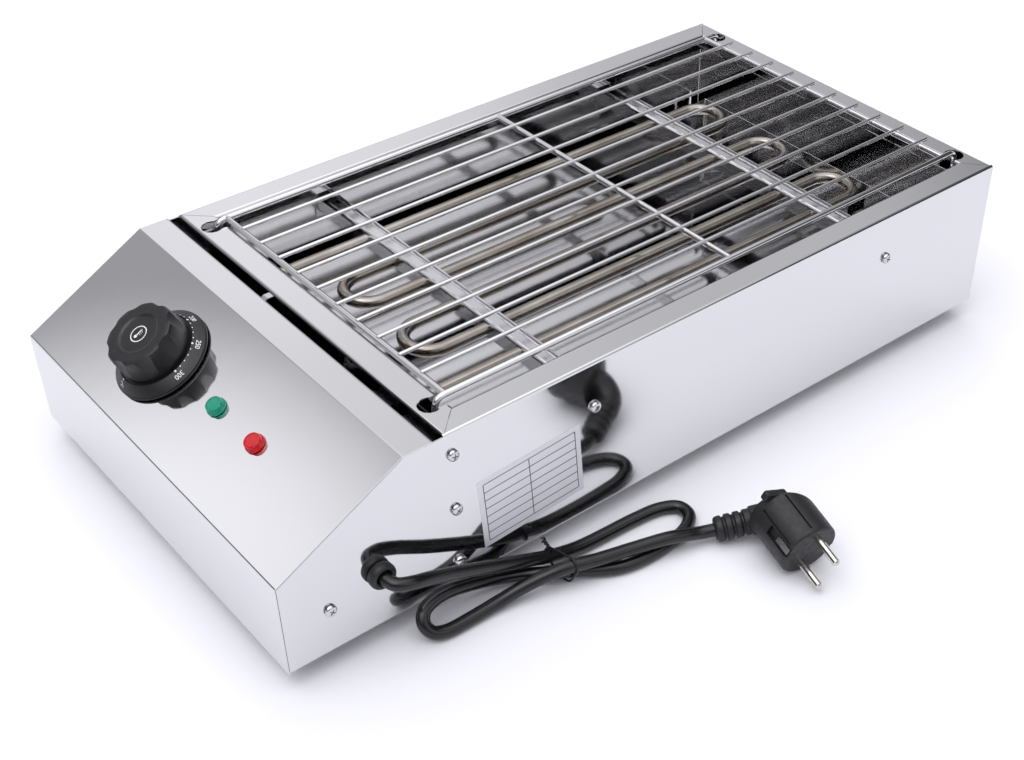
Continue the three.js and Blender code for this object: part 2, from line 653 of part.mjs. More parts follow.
function thermostatShaft() {
  const round = rod("z", [0, 0], shaft.radius, [shaft.top - shaft.length, shaft.top], 20);
  const flat = box([-shaft.radius, shaft.radius], [shaft.radius - shaft.flat, shaft.radius + overrun],
    [thermostat.neckHeight, shaft.top + overrun]);
  return onSlopeAt(cut(round, flat), dialX);
}

// A pan-head screw standing on z = 0 with its shank downwards.
function panScrew(size, steps) {
  return turned([
    [0, -size.length], [size.shank, -size.length], [size.shank, clearance], [size.head, clearance],
    ...quarter([size.head - size.round, clearance + size.headHeight - size.round], size.round, 0, 2),
    [0, clearance + size.headHeight],
  ], steps);
}

function lampLens(x) {
  return onSlopeAt(turned([
    [0, -lamp.stemLength], [lamp.stem, -lamp.stemLength], [lamp.stem, clearance], [lamp.lens, clearance],
    [lamp.lens, clearance + lamp.edge], [lamp.shoulder, lamp.shoulderHeight],
    [lamp.crown, lamp.height - clearance], [lamp.crown - lamp.edge, lamp.height], [0, lamp.height],
  ], 12), x);
}

function lampBody(x) {
  const bore = lamp.stem + clearance;
  return onSlopeAt(turned([
    [0, backOfSlope - lamp.bodyLength], [lamp.body, backOfSlope - lamp.bodyLength], [lamp.body, backOfSlope],
    [bore, backOfSlope], [bore, -lamp.stemLength - clearance], [0, -lamp.stemLength - clearance],
  ], 12), x);
}

function ventClip() {
  const line = [
    [ventFront + clearance, top - ventTab.height], [ventFront + clearance, top - sheet],
    [chamberFront - clearance, top - sheet],
  ];
  return prism("yz", folded(line, -1), ventTab.x - ventTab.width / 2, ventTab.x + ventTab.width / 2);
}

function cordRing() {
  const inside = -sheet - clearance;
  const profile = [
    [cordHole, inside - ring.back], [ring.outer, inside - ring.back], [ring.outer, inside],
    [ring.sleeve, inside], [ring.sleeve, clearance], [ring.outer, clearance],
    ...quarter([ring.outer - ring.round, ring.face - ring.round], ring.round, 0),
    [cordHole, ring.face - ring.round / 2], [cordHole, inside - ring.back],
  ];
  return aim(turned(profile, 16), new THREE.Vector3(halfWidth, ringY, ringZ), new THREE.Vector3(1, 0, 0));
}

function cordStop() {
  const from = halfWidth - stop.inset - stop.length;
  const profile = [
    [cordHole, 0], [stop.radius, 0], [stop.radius, stop.length], [cordHole, stop.length], [cordHole, 0],
  ];
  return aim(turned(profile, 16), new THREE.Vector3(from, ringY, ringZ), new THREE.Vector3(1, 0, 0));
}

function cordStops() {
  const curve = new THREE.CatmullRomCurve3(cordRoute.map((point) => new THREE.Vector3(...point)), false,
    "centripetal");
  curve.arcLengthDivisions = 50 * cordRoute.length;
  return curve.getSpacedPoints(Math.round(curve.getLength() / cord.step)).map((point) => point.toArray());
}

// The least gap of the lead to itself, on points along its way.
function cordSelfGap() {
  const points = cordStops().map((stopPoint) => new THREE.Vector3(...stopPoint));
  const apart = Math.ceil((6 * cord.radius) / cord.step);
  let least = Infinity;
  const line = new THREE.Line3();
  const near = new THREE.Vector3();
  for (let i = 0; i < points.length; i += 1) {
    for (let k = i + apart; k < points.length - 1; k += 1) {
      line.set(points[k], points[k + 1]).closestPointToPoint(points[i], true, near);
      least = Math.min(least, near.distanceTo(points[i]) - 2 * cord.radius);
    }
  }
  return least;
}

function plugFrame() {
  const line = pinLine.clone().addScaledVector(pinWay, -pinLine.dot(pinWay)).normalize();
  const across = line.clone().cross(pinWay);
  return new THREE.Matrix4().makeBasis(across, line, pinWay).setPosition(plugFace);
}

function plugBody() {
  const round = turned([
    [0, 0], [plug.radius - plug.edge, 0], [plug.radius, -plug.edge], [plug.radius, -plug.straight],
    [plug.waist, -plug.waistDepth], [plug.shoulder, plug.round - plug.depth],
    [plug.back, -plug.depth], [0, -plug.depth],
  ], 20);
  const slots = [1, -1].map((side) => sideBox(side, [plug.radius - plug.slotDepth, plug.radius + overrun],
    [-plug.slotWidth / 2, plug.slotWidth / 2], [-plug.slotLength, overrun]));
  const pins = [1, -1].map((side) => rod("z", [0, (side * plug.pinPitch) / 2], plug.pinRadius + clearance,
    [-plug.pinRadius - clearance, overrun]));
  const head = cut(round, ...slots, ...pins).applyMatrix4(plugFrame());
  const ribs = Array.from({ length: sleeve.ribs }, (_, i) => {
    const from = i * sleeve.ribPitch;
    const half = sleeve.ribPitch / 2;
    const edge = sleeve.mouth + ((sleeve.radius - sleeve.mouth) * (i + 1)) / sleeve.ribs;
    return [[edge, from], [edge, from + half], [edge - sleeve.groove, from + half],
      [edge - sleeve.groove, from + sleeve.ribPitch]];
  }).flat();
  const end = turned([[0, sleeve.length], [0, sleeve.bore], [cordHole, sleeve.bore], [cordHole, 0], ...ribs,
    [sleeve.radius, sleeve.ribs * sleeve.ribPitch], [sleeve.radius, sleeve.length], [0, sleeve.length]], 14);
  return join(aim(end, sleeveMouth, sleeveWay), wire(elbow, sleeve.neck, 12), head);
}

function plugPin(side) {
  const end = plug.pinLength;
  return turned([
    [0, -plug.pinRadius], [plug.pinRadius, -plug.pinRadius], [plug.pinRadius, end - plug.pinRound],
    [plug.pinRadius - plug.pinRound, end], [0, end],
  ], 12).translate(0, (side * plug.pinPitch) / 2, 0).applyMatrix4(plugFrame());
}

function plugEarth(side) {
  const near = plug.radius - plug.slotDepth + clearance;
  return sideBox(side, [near, near + plug.strip], [-plug.stripWidth / 2, plug.stripWidth / 2],
    [-plug.stripLength, -plug.edge]).applyMatrix4(plugFrame());
}

// A loop of wire round the runs of the lead, with two short tails on top.
function cordTie() {
  const runs = tiedRuns.map(([x, z]) => new THREE.Vector2(x, z));
  const angles = runs.map((run, i) => {
    const way = runs[(i + 1) % runs.length].clone().sub(run);
    return Math.atan2(-way.x, way.y);
  });
  const loop = runs.flatMap((run, i) => {
    const from = angles[(i + runs.length - 1) % runs.length];
    const turn = (angles[i] - from + 4 * Math.PI) % (2 * Math.PI);
    return arc(run.toArray(), tie.reach, from, from + turn, 4);
  });
  const [last, first] = [loop[loop.length - 1], loop[0]];
  const middle = [(last[0] + first[0]) / 2, (last[1] + first[1]) / 2];
  const line = [
    [middle[0] - tie.lean, middle[1] + tie.tail], middle, ...loop, middle,
    [middle[0] + tie.lean, middle[1] + tie.tail],
  ];
  const stops = line.map(([x, z], i) => [x, tie.y + (i / (line.length - 1)) * tie.spread, z]);
  return wire(stops, tie.radius, 5);
}

const looks = {
  casing: { color: 0xcfcfd1, metalness: 0.9, roughness: 0.25 },
  chrome: { color: 0xe8e8ea, metalness: 1, roughness: 0.12 },
  tubeSteel: { color: 0x9a948a, metalness: 0.7, roughness: 0.5 },
  screwSteel: { color: 0xc9c9cc, metalness: 1, roughness: 0.3 },
  blackPlastic: { color: 0x1b1b1d, metalness: 0, roughness: 0.45 },
  blackRubber: { color: 0x202022, metalness: 0, roughness: 0.75 },
  greenLens: { color: 0x0a8f72, metalness: 0, roughness: 0.15 },
  redLens: { color: 0xc4161c, metalness: 0, roughness: 0.15 },
  palePlastic: { color: 0xd8d4c8, metalness: 0, roughness: 0.6 },
  brass: { color: 0xb58a3c, metalness: 1, roughness: 0.35 },
  ceramic: { color: 0xe9e4d8, metalness: 0, roughness: 0.5 },
};

const grill = new THREE.Group();
grill.name = "electric_grill";

function add(name, look, geometry) {
  const flat = geometry.index ? geometry.toNonIndexed() : geometry;
  flat.computeVertexNormals();
  const mesh = new THREE.Mesh(flat, new THREE.MeshStandardMaterial(looks[look]));
  mesh.material.name = look;
  mesh.name = name;
  grill.add(mesh);
}

const sides = [["left", -1], ["right", 1]];

sides.forEach(([name, side]) => add(`side_panel_${name}`, "casing", sidePanel(side)));
add("rear_panel", "casing", rearPanel());
add("chamber_front_wall", "casing", chamberWall());
add("control_cover", "casing", controlCover());
add("base_plate", "casing", basePlate());
add("drip_tray", "casing", dripTray());
add("cooking_grid", "chrome", cookingGrid());
add("heating_element", "tubeSteel", heatingElement());
add("element_bar_front", "screwSteel", elementBar(railPlaces[0]));
add("element_bar_rear", "screwSteel", elementBar(railPlaces[1]));
sides.forEach(([name, side]) => {
  add(`element_bush_${name}`, "ceramic", elementBush(side));
  add(`element_terminal_${name}`, "screwSteel", elementTerminal(side));
});
add("knob", "blackPlastic", knobBody());
add("thermostat_body", "palePlastic", thermostatBody());
add("thermostat_shaft", "screwSteel", thermostatShaft());
[["lower", -1], ["upper", 1]].forEach(([name, way]) => add(`thermostat_screw_${name}`, "screwSteel",
  onSlopeAt(panScrew(plateScrew, 8).translate(0, (way * plateScrew.pitch) / 2, 0), dialX)));
Object.entries(lampX).forEach(([name, x]) => {
  add(`lamp_lens_${name}`, `${name}Lens`, lampLens(x));
  add(`lamp_body_${name}`, "palePlastic", lampBody(x));
});
add("vent_clip", "screwSteel", ventClip());
sides.forEach(([name, side]) => sideScrewPlaces().forEach(([y, z], i) => add(`side_screw_${name}_${i + 1}`,
  "screwSteel", aim(panScrew(screw, 8), new THREE.Vector3(side * halfWidth, y, z), new THREE.Vector3(side, 0, 0)))));
add("cord_grommet", "blackRubber", cordRing());
add("cord_stop", "blackPlastic", cordStop());
add("mains_cord", "blackRubber", wire(cordStops(), cord.radius, cord.sides));
add("cord_tie", "blackPlastic", cordTie());
add("plug_body", "blackRubber", plugBody());
[["lower", -1], ["upper", 1]].forEach(([name, side]) => add(`plug_pin_${name}`, "brass", plugPin(side)));
[["inner", -1], ["outer", 1]].forEach(([name, side]) => add(`plug_earth_${name}`, "brass", plugEarth(side)));
footPlaces().forEach((place, i) => add(`foot_${["front", "rear"][Math.floor(i / 2)]}_${["left", "right"][i % 2]}`,
  "blackRubber", rubberFoot(place)));

const selfGap = cordSelfGap();
console.log(`least gap of the lead to itself: ${selfGap.toFixed(2)} mm, wanted over ${leastCordGap} mm`);

export default grill;
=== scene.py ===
# %% [markdown]
# # A tabletop electric grill
# The grill is a box of bright folded steel with an open chamber, a bent heating tube, a loose wire
# grid and a sloping panel with one dial. The measured solids come in first, as a fixed frame. Every
# finish and every piece that is modelled here is then added to that frame, in metres.

# %% The measured frame
import json
import math

import bpy
from mathutils import Matrix, Vector


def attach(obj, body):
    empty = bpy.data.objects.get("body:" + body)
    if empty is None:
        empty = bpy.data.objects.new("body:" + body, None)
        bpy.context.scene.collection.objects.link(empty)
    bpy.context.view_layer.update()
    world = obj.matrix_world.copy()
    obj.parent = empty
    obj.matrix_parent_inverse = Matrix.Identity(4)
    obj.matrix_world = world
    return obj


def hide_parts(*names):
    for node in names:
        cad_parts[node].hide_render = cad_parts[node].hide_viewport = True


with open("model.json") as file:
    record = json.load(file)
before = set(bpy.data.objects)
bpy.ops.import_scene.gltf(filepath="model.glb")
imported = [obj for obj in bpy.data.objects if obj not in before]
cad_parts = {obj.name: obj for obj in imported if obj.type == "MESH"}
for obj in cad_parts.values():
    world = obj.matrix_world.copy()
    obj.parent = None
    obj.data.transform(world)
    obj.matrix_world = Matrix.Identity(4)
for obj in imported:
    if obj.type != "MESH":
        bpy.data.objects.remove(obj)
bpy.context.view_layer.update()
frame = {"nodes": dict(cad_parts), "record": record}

MM = 0.001

# %% [markdown]
# ## The camera
# The picture was taken from above the front right corner. The camera's place and its lens were
# worked out from the casing's straight edges, whose real lengths are known. The picture was cropped
# after it was taken, so the lens axis isn't in its middle, and the camera's shift allows for that.

# %% Camera
picture_width, picture_height = 1024, 760
sensor_width = 36.0
focal_pixels = 1574.2
lens_axis_pixel = (617.7, 442.5)
camera_azimuth, camera_elevation, camera_roll = (math.radians(a) for a in (48.97, 39.38, 0.93))
camera_distance = 874.3 * MM
camera_target = Vector((158.5, -64.7, 73.5)) * MM

backward = Vector((
    math.sin(camera_azimuth) * math.cos(camera_elevation),
    -math.cos(camera_azimuth) * math.cos(camera_elevation),
    math.sin(camera_elevation),
))
level_right = Vector((0, 0, 1)).cross(backward).normalized()
level_up = backward.cross(level_right)
camera_right = level_right * math.cos(camera_roll) + level_up * math.sin(camera_roll)
camera_up = level_up * math.cos(camera_roll) - level_right * math.sin(camera_roll)

camera_data = bpy.data.cameras.new("photo_camera")
camera_data.sensor_fit = "HORIZONTAL"
camera_data.sensor_width = sensor_width
camera_data.lens = focal_pixels * sensor_width / picture_width
camera_data.shift_x = (picture_width / 2 - lens_axis_pixel[0]) / picture_width
camera_data.shift_y = (lens_axis_pixel[1] - picture_height / 2) / picture_width
camera_data.clip_start = 0.01
camera = bpy.data.objects.new("photo_camera", camera_data)
bpy.context.collection.objects.link(camera)
turned = Matrix((camera_right, camera_up, backward)).transposed().to_4x4()
camera.matrix_world = Matrix.Translation(camera_target + backward * camera_distance) @ turned
bpy.context.scene.camera = camera
print("camera at", [round(v, 3) for v in camera.matrix_world.translation])

# %% [markdown]
# ## Finishes
# A finish is a small net of nodes that starts from the real material. Colours are picked as the
# usual hex values, and the shader works with linear light, so one function turns the one into the
# other. Another adds a node with its settings and links, which keeps each finish short to read.

# %% Colours and nodes
def from_hex(code):
    """The linear colour of an sRGB hex value such as "d9d9dd"."""
    channels = [int(code[i:i + 2], 16) / 255 for i in (0, 2, 4)]
    return [c / 12.92 if c <= 0.04045 else ((c + 0.055) / 1.055) ** 2.4 for c in channels] + [1.0]


def add_node(material, kind, links=None, values=None):
    """Adds a node: links names its inputs' sources, and values its inputs' values."""
    node = material.node_tree.nodes.new(kind)
    for socket, value in (values or {}).items():
        node.inputs[socket].default_value = value
    for socket, source in (links or {}).items():
        material.node_tree.links.new(source, node.inputs[socket])
    return node


def new_finish(name, colour, metallic, roughness, values=None):
    """A material with one surface shader, and that shader."""
    material = bpy.data.materials.new(name)
    material.use_nodes = True
    shader = material.node_tree.nodes["Principled BSDF"]
    settings = {"Base Color": from_hex(colour), "Metallic": metallic, "Roughness": roughness}
    settings.update(values or {})
    for socket, value in settings.items():
        shader.inputs[socket].default_value = value
    return material, shader


def noise(material, size_mm, stretch=(1, 1, 1), detail=2.0):
    """A noise pattern whose blotches are about size_mm across in the object's own space."""
    place = add_node(material, "ShaderNodeTexCoord").outputs["Object"]
    scale = [1 / (size_mm * MM * s) for s in stretch]
    mapped = add_node(material, "ShaderNodeMapping", {"Vector": place}, {"Scale": scale}).outputs["Vector"]
    pattern = add_node(material, "ShaderNodeTexNoise", {"Vector": mapped}, {"Scale": 1.0, "Detail": detail})
    return pattern.outputs["Fac"]


def vary(material, shader, socket, source, low, high):
    """Lets a pattern move one of the shader's values between low and high."""
    limits = {"From Min": 0.3, "From Max": 0.7, "To Min": low, "To Max": high}
    between = add_node(material, "ShaderNodeMapRange", {"Value": source}, limits)
    material.node_tree.links.new(between.outputs["Result"], shader.inputs[socket])


def bump(material, shader, source, height_mm):
    """Raises the surface by a pattern, height_mm from its lowest to its highest."""
    limits = {"Strength": 1.0, "Distance": height_mm * MM}
    raised = add_node(material, "ShaderNodeBump", {"Height": source}, limits)
    material.node_tree.links.new(raised.outputs["Normal"], shader.inputs["Normal"])


print("middle grey is", round(from_hex("808080")[0], 3), "in linear light")

# %% [markdown]
# ### Bright-annealed stainless sheet
# The casing is thin stainless sheet with a bright rolled finish, so it mirrors what is near it and
# blurs what is far. Sheet is never quite flat after folding: very long, very low waves bend the
# mirror images a little. Fine rolling streaks change the gloss and can hardly be seen.

# %% Casing finish
sheet_steel, sheet_shader = new_finish("bright_annealed_stainless_sheet", "dcdcdd", 1.0, 0.1)
streaks = noise(sheet_steel, 1.2, (1, 60, 1))
vary(sheet_steel, sheet_shader, "Roughness", streaks, 0.045, 0.075)
waves = noise(sheet_steel, 55)
bump(sheet_steel, sheet_shader, waves, 0.05)
print("casing finish:", sheet_steel.name)

# %% [markdown]
# ### Other metals
# The grid is nickel-chrome plated wire, polished and bright. The heating tube is stainless too, but it
# has been hot: its skin is a warm grey, duller, with faint straw and blue-brown stains along it.
# Screws and punched bars are plain zinc-bright steel.

# %% Chrome wire, heating tube, bars and screws
chrome_wire, chrome_shader = new_finish("polished_chrome_plated_wire", "dededf", 1.0, 0.07)
vary(chrome_wire, chrome_shader, "Roughness", noise(chrome_wire, 3), 0.05, 0.11)

tube_steel, tube_shader = new_finish("heat_tinted_stainless_tube", "9a948c", 1.0, 0.2)
tint = noise(tube_steel, 14, (1, 3, 1))
tint_ramp = add_node(tube_steel, "ShaderNodeValToRGB", {"Fac": tint})
tint_ramp.color_ramp.elements[0].position, tint_ramp.color_ramp.elements[1].position = 0.35, 0.68
tint_ramp.color_ramp.elements[0].color = from_hex("8a8279")
tint_ramp.color_ramp.elements[1].color = from_hex("aaa59e")
tube_steel.node_tree.links.new(tint_ramp.outputs["Color"], tube_shader.inputs["Base Color"])
vary(tube_steel, tube_shader, "Roughness", noise(tube_steel, 5), 0.15, 0.22)

bar_steel, bar_shader = new_finish("punched_bright_steel_strip", "d8d8da", 1.0, 0.16)
vary(bar_steel, bar_shader, "Roughness", noise(bar_steel, 2, (6, 1, 1)), 0.12, 0.2)

screw_steel, screw_shader = new_finish("zinc_plated_screw_steel", "d0d0d2", 1.0, 0.2)
vary(screw_steel, screw_shader, "Roughness", noise(screw_steel, 0.8), 0.15, 0.26)
metals = (chrome_wire, tube_steel, bar_steel, screw_steel)
print("other metals:", [metal.name for metal in metals])

# %% [markdown]
# ### Black mouldings
# The knob is moulded phenolic resin with a fine spark-eroded grain, which gives a soft satin sheen.
# The lead's sheath is smooth PVC and shinier. The feet, the ring and the plug are rubbery mouldings,
# which are duller, and the tie is wire in a thin PVC coat.

# %% Black mouldings
knob_plastic, knob_shader = new_finish("moulded_phenolic_resin", "131315", 0.0, 0.36)
grain = noise(knob_plastic, 0.35, detail=4.0)
bump(knob_plastic, knob_shader, grain, 0.012)
vary(knob_plastic, knob_shader, "Roughness", noise(knob_plastic, 6), 0.32, 0.42)

sheath_pvc, sheath_shader = new_finish("extruded_pvc_sheath", "0f0f11", 0.0, 0.24)
vary(sheath_pvc, sheath_shader, "Roughness", noise(sheath_pvc, 4), 0.2, 0.28)
bump(sheath_pvc, sheath_shader, noise(sheath_pvc, 5), 0.01)

moulded_rubber, rubber_shader = new_finish("moulded_black_rubber", "17171a", 0.0, 0.5)
vary(moulded_rubber, rubber_shader, "Roughness", noise(moulded_rubber, 3), 0.42, 0.58)
bump(moulded_rubber, rubber_shader, noise(moulded_rubber, 0.5, detail=4.0), 0.015)

tie_wire, tie_shader = new_finish("pvc_coated_tie_wire", "0e0e10", 0.0, 0.35)
vary(tie_wire, tie_shader, "Roughness", noise(tie_wire, 1.5), 0.3, 0.42)
print("knob, sheath, rubber and tie finishes are ready")

# %% [markdown]
# ### Print, pale mouldings and plated brass
# The white marks are printed in a thin, slightly matt ink. Behind the slope sit pale resin and
# pressed ceramic, both dull and light. The plug's pins are nickel-plated brass, a warm bright metal.

# %% Print, mouldings and brass
white_print, print_shader = new_finish("tampo_printed_white_ink", "e9e9e9", 0.0, 0.5)
vary(white_print, print_shader, "Roughness", noise(white_print, 0.5), 0.45, 0.6)

pale_moulding, pale_shader = new_finish("moulded_pale_resin", "cfc9ba", 0.0, 0.5)
bump(pale_moulding, pale_shader, noise(pale_moulding, 0.5), 0.01)

steatite, steatite_shader = new_finish("pressed_steatite_ceramic", "e6e1d6", 0.0, 0.6)
bump(steatite, steatite_shader, noise(steatite, 0.6), 0.01)

nickel, nickel_shader = new_finish("nickel_plated_brass", "d3cfc6", 1.0, 0.18)
vary(nickel, nickel_shader, "Roughness", noise(nickel, 2), 0.14, 0.24)
print("light finishes:", white_print.name, pale_moulding.name, steatite.name)

# %% [markdown]
# ### Lamp caps
# The caps are clear coloured acrylic, moulded smooth. Part of the light goes into them and comes back
# coloured, which makes them glow a little even when they are off.

# %% Lamp caps
def lamp_finish(name, colour):
    """Coloured acrylic: a fifth of the light goes through, and the rest shows the body's colour."""
    material, shader = new_finish(name, colour, 0.0, 0.06, {"IOR": 1.49, "Transmission Weight": 0.2})
    vary(material, shader, "Roughness", noise(material, 3), 0.04, 0.08)
    return material


green_acrylic = lamp_finish("green_lamp_acrylic", "0a9a7c")
red_acrylic = lamp_finish("red_lamp_acrylic", "d4111b")
print("lamp finishes:", green_acrylic.name, red_acrylic.name)

# %% [markdown]
# ### Finishes on the measured solids
# Most of the sheet metal needs no new model, because folded sheet is just what the solids are. They
# only take their finish here, by the slot that each one is listed with.

# %% Finishes on the measured solids
finish_of_slot = {
    "casing": sheet_steel, "chrome_wire": chrome_wire, "element_tube": tube_steel,
    "bar_steel": bar_steel, "ceramic": steatite, "pin_steel": screw_steel,
    "knob_plastic": knob_plastic, "housing_plastic": pale_moulding, "screw_steel": screw_steel,
    "green_lens": green_acrylic, "red_lens": red_acrylic, "black_rubber": moulded_rubber,
    "cord_sheath": sheath_pvc, "tie_wire": tie_wire, "plug_rubber": moulded_rubber,
    "plug_metal": nickel, "foot_rubber": moulded_rubber,
}
slot_of_node = {s["node"]: s["material_slot"] for s in frame["record"]["subparts"]}
for name, solid in frame["nodes"].items():
    solid.data.materials.clear()
    solid.data.materials.append(finish_of_slot[slot_of_node[name]])
print("solids with a finish:", len(frame["nodes"]))

# %% [markdown]
# ## Small tools for modelling
# Operators act on whatever is selected, so each step selects only its own piece. A finished piece
# has its place in its mesh and its object at the origin, as the solids have.

# %% Selecting and placing
def deselect():
    """Leaves edit mode and selects nothing."""
    if bpy.context.object and bpy.context.object.mode != "OBJECT":
        bpy.ops.object.mode_set(mode="OBJECT")
    bpy.ops.object.select_all(action="DESELECT")


def select_only(piece):
    """Leaves only this piece selected and active."""
    deselect()
    piece.select_set(True)
    bpy.context.view_layer.objects.active = piece


def settle(piece, matrix=None):
    """Puts the piece's place into its mesh. matrix moves it there first."""
    if matrix is not None:
        piece.matrix_world = matrix @ piece.matrix_world
    select_only(piece)
    bpy.ops.object.transform_apply(location=True, rotation=True, scale=True)
    return piece

# %% [markdown]
# ### Naming and finishing a piece
# Each piece gets a name, a finish and the body that it moves with, and the solids that it stands
# for are hidden. Its rounded faces are shaded smooth up to an angle, so that real edges stay crisp.

# %% Finishing
def finish(piece, name, slot, body="casing", replaces=(), smooth=35):
    """Names a piece, gives it its finish and its body, and smooths its rounded faces."""
    piece.name = piece.data.name = name
    if piece.type == "MESH" and smooth:
        select_only(piece)
        bpy.ops.object.shade_smooth_by_angle(angle=math.radians(smooth))
    piece.data.materials.clear()
    piece.data.materials.append(finish_of_slot[slot])
    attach(piece, body)
    if replaces:
        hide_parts(*replaces)
    return piece

# %% [markdown]
# ### Wires
# A wire is a curve with a round bevel, turned into a mesh. A chain of cylinders would show a kink at
# every joint, and the bevel keeps the section round through each bend.

# %% Wires
def swept(points, radius, sides=20):
    """A round wire or tube along points in millimetres, as a mesh with closed ends."""
    curve = bpy.data.curves.new("sweep", "CURVE")
    curve.dimensions = "3D"
    line = curve.splines.new("POLY")
    line.points.add(len(points) - 1)
    for point, place in zip(line.points, points):
        point.co = (*[v * MM for v in place], 1)
    curve.bevel_depth = radius * MM
    curve.bevel_resolution = max(sides // 2 - 2, 1)
    curve.use_fill_caps = True
    wire = bpy.data.objects.new("sweep", curve)
    bpy.context.collection.objects.link(wire)
    select_only(wire)
    bpy.ops.object.convert(target="MESH")
    return bpy.context.object

# %% [markdown]
# ## The mains lead
# The lead is 8 mm sheathed cable. It leaves the side wall through a rubber ring, drops to the table,
# runs to the rear, comes back to the front, where its fold stands by the wall, and goes over itself
# to its plug: a loose bundle of three runs with a wire tie round them. The folds and the turn at the
# ring are tighter than the four diameters that such a lead should keep. A curve with a round bevel is
# what such a cable is: one round section on one smooth line. Its points are the same as the solid's.

# %% Mains lead
lead_route = [
    (116, -213, 51.5), (138, -213, 51.5), (147.5, -213, 51.5), (153.5, -210.5, 51), (156, -203, 49.5),
    (155.5, -192, 45.5), (153.5, -175, 37.5), (152, -128, 16.5), (153.2, -107, 9.3), (154, -88, 5.4),
    (155.5, -46, 4.2), (158, -30, 4.2), (164, -20.5, 4.2), (173, -20.5, 4.2), (180, -29, 4.2),
    (184.5, -53, 4.2), (182, -78, 4.3), (176, -91.5, 5.2), (168, -105, 6.9), (159, -118, 6.2),
    (151, -131, 6.8), (147.5, -146, 10.5), (146.3, -162, 15), (146, -175, 18), (146.8, -186, 18.1),
    (149, -193.5, 15.8), (153, -196.2, 11.2), (157, -193.5, 6.8), (159, -186, 4.7), (159.5, -171, 4.5),
    (160.3, -153, 6), (164, -134, 11), (170.5, -113, 15.4), (175.8, -93, 14), (180.5, -72, 12.8),
    (187, -50, 12.8), (189.6, -40, 11), (192.4, -29, 8.6), (196, -21.5, 9), (198.9, -16.3, 9.96),
]
lead_diameter = 8


def smooth_through(points, steps=6):
    """Points on a smooth line through the given ones, closer together.

    Each stretch bends by the points beside it, and the spacing between points sets how fast the
    line may turn, which keeps it from looping at close points.
    """
    spots = [Vector(p) for p in points]
    spots = [2 * spots[0] - spots[1], *spots, 2 * spots[-1] - spots[-2]]
    line = []
    for p0, p1, p2, p3 in zip(spots, spots[1:], spots[2:], spots[3:]):
        t1 = (p1 - p0).length ** 0.5
        t2 = t1 + (p2 - p1).length ** 0.5
        t3 = t2 + (p3 - p2).length ** 0.5
        for i in range(steps):
            t = t1 + (t2 - t1) * i / steps
            a1 = p0 * ((t1 - t) / t1) + p1 * (t / t1)
            a2 = p1 * ((t2 - t) / (t2 - t1)) + p2 * ((t - t1) / (t2 - t1))
            a3 = p2 * ((t3 - t) / (t3 - t2)) + p3 * ((t - t2) / (t3 - t2))
            b1 = a1 * ((t2 - t) / t2) + a2 * (t / t2)
            b2 = a2 * ((t3 - t) / (t3 - t1)) + a3 * ((t - t1) / (t3 - t1))
            line.append(b1 * ((t2 - t) / (t2 - t1)) + b2 * ((t - t1) / (t2 - t1)))
    line.append(spots[-2])
    return line


lead_line = smooth_through(lead_route)
mains_lead = finish(swept(lead_line, lead_diameter / 2, 24), "mains_lead", "cord_sheath",
                    replaces=["mains_cord"], smooth=60)

# %% [markdown]
# ### The lead's ring
# A rubber ring lines the hole in the side wall, so that the sheet's edge can't cut the lead. It is
# moulded as a thick round collar, and is built from rings round its own axis, then laid along x.

# %% Lead ring
ring_place = Vector((140, -213, 51.5))
ring_outline = [(4.3, -3.9), (8, -3.9), (8, -1.1), (6.6, -1.1), (6.6, 0.3), (7.3, 0.4), (7.8, 1.1),
                (8, 2.2), (8, 4.1), (7.7, 5.2), (7.0, 6.1), (6.2, 6.5), (5.4, 6.4), (4.7, 5.9),
                (4.35, 5.0)]


def drawn(points, edges=(), faces=()):
    """A mesh from points in millimetres, selected and active."""
    mesh = bpy.data.meshes.new("drawn")
    mesh.from_pydata([(x * MM, y * MM, z * MM) for x, y, z in points], edges, faces)
    piece = bpy.data.objects.new("drawn", mesh)
    bpy.context.collection.objects.link(piece)
    select_only(piece)
    return piece


def spun(outline, sides=48):
    """A ring-shaped piece: the outline (radius, height) spun round the z axis by the spin tool."""
    edges = [(i, (i + 1) % len(outline)) for i in range(len(outline))]
    piece = drawn([(r, 0, z) for r, z in outline], edges)
    bpy.ops.object.mode_set(mode="EDIT")
    bpy.ops.mesh.select_all(action="SELECT")
    bpy.ops.mesh.spin(steps=sides, angle=2 * math.pi, center=(0, 0, 0), axis=(0, 0, 1))
    bpy.ops.mesh.select_all(action="SELECT")
    bpy.ops.mesh.remove_doubles(threshold=1e-6)
    bpy.ops.mesh.normals_make_consistent(inside=False)
    bpy.ops.object.mode_set(mode="OBJECT")
    return piece


def aimed(place_mm, direction):
    """The matrix that puts a piece built round z at a place, with its z along a direction."""
    turn = Vector((0, 0, 1)).rotation_difference(Vector(direction)).to_matrix().to_4x4()
    return Matrix.Translation(Vector(place_mm) * MM) @ turn


lead_ring = finish(settle(spun(ring_outline), aimed(ring_place, (1, 0, 0))), "lead_ring",
                   "black_rubber", replaces=["cord_grommet"], smooth=50)
print("ring faces:", len(lead_ring.data.polygons))

# %% [markdown]
# ### Round pieces and blocks
# A turned or moulded round piece can be read as a stack of rings. One disc is extruded from ring to
# ring and scaled each time, as one would do by hand. Blocks are for square forms and for cutting.

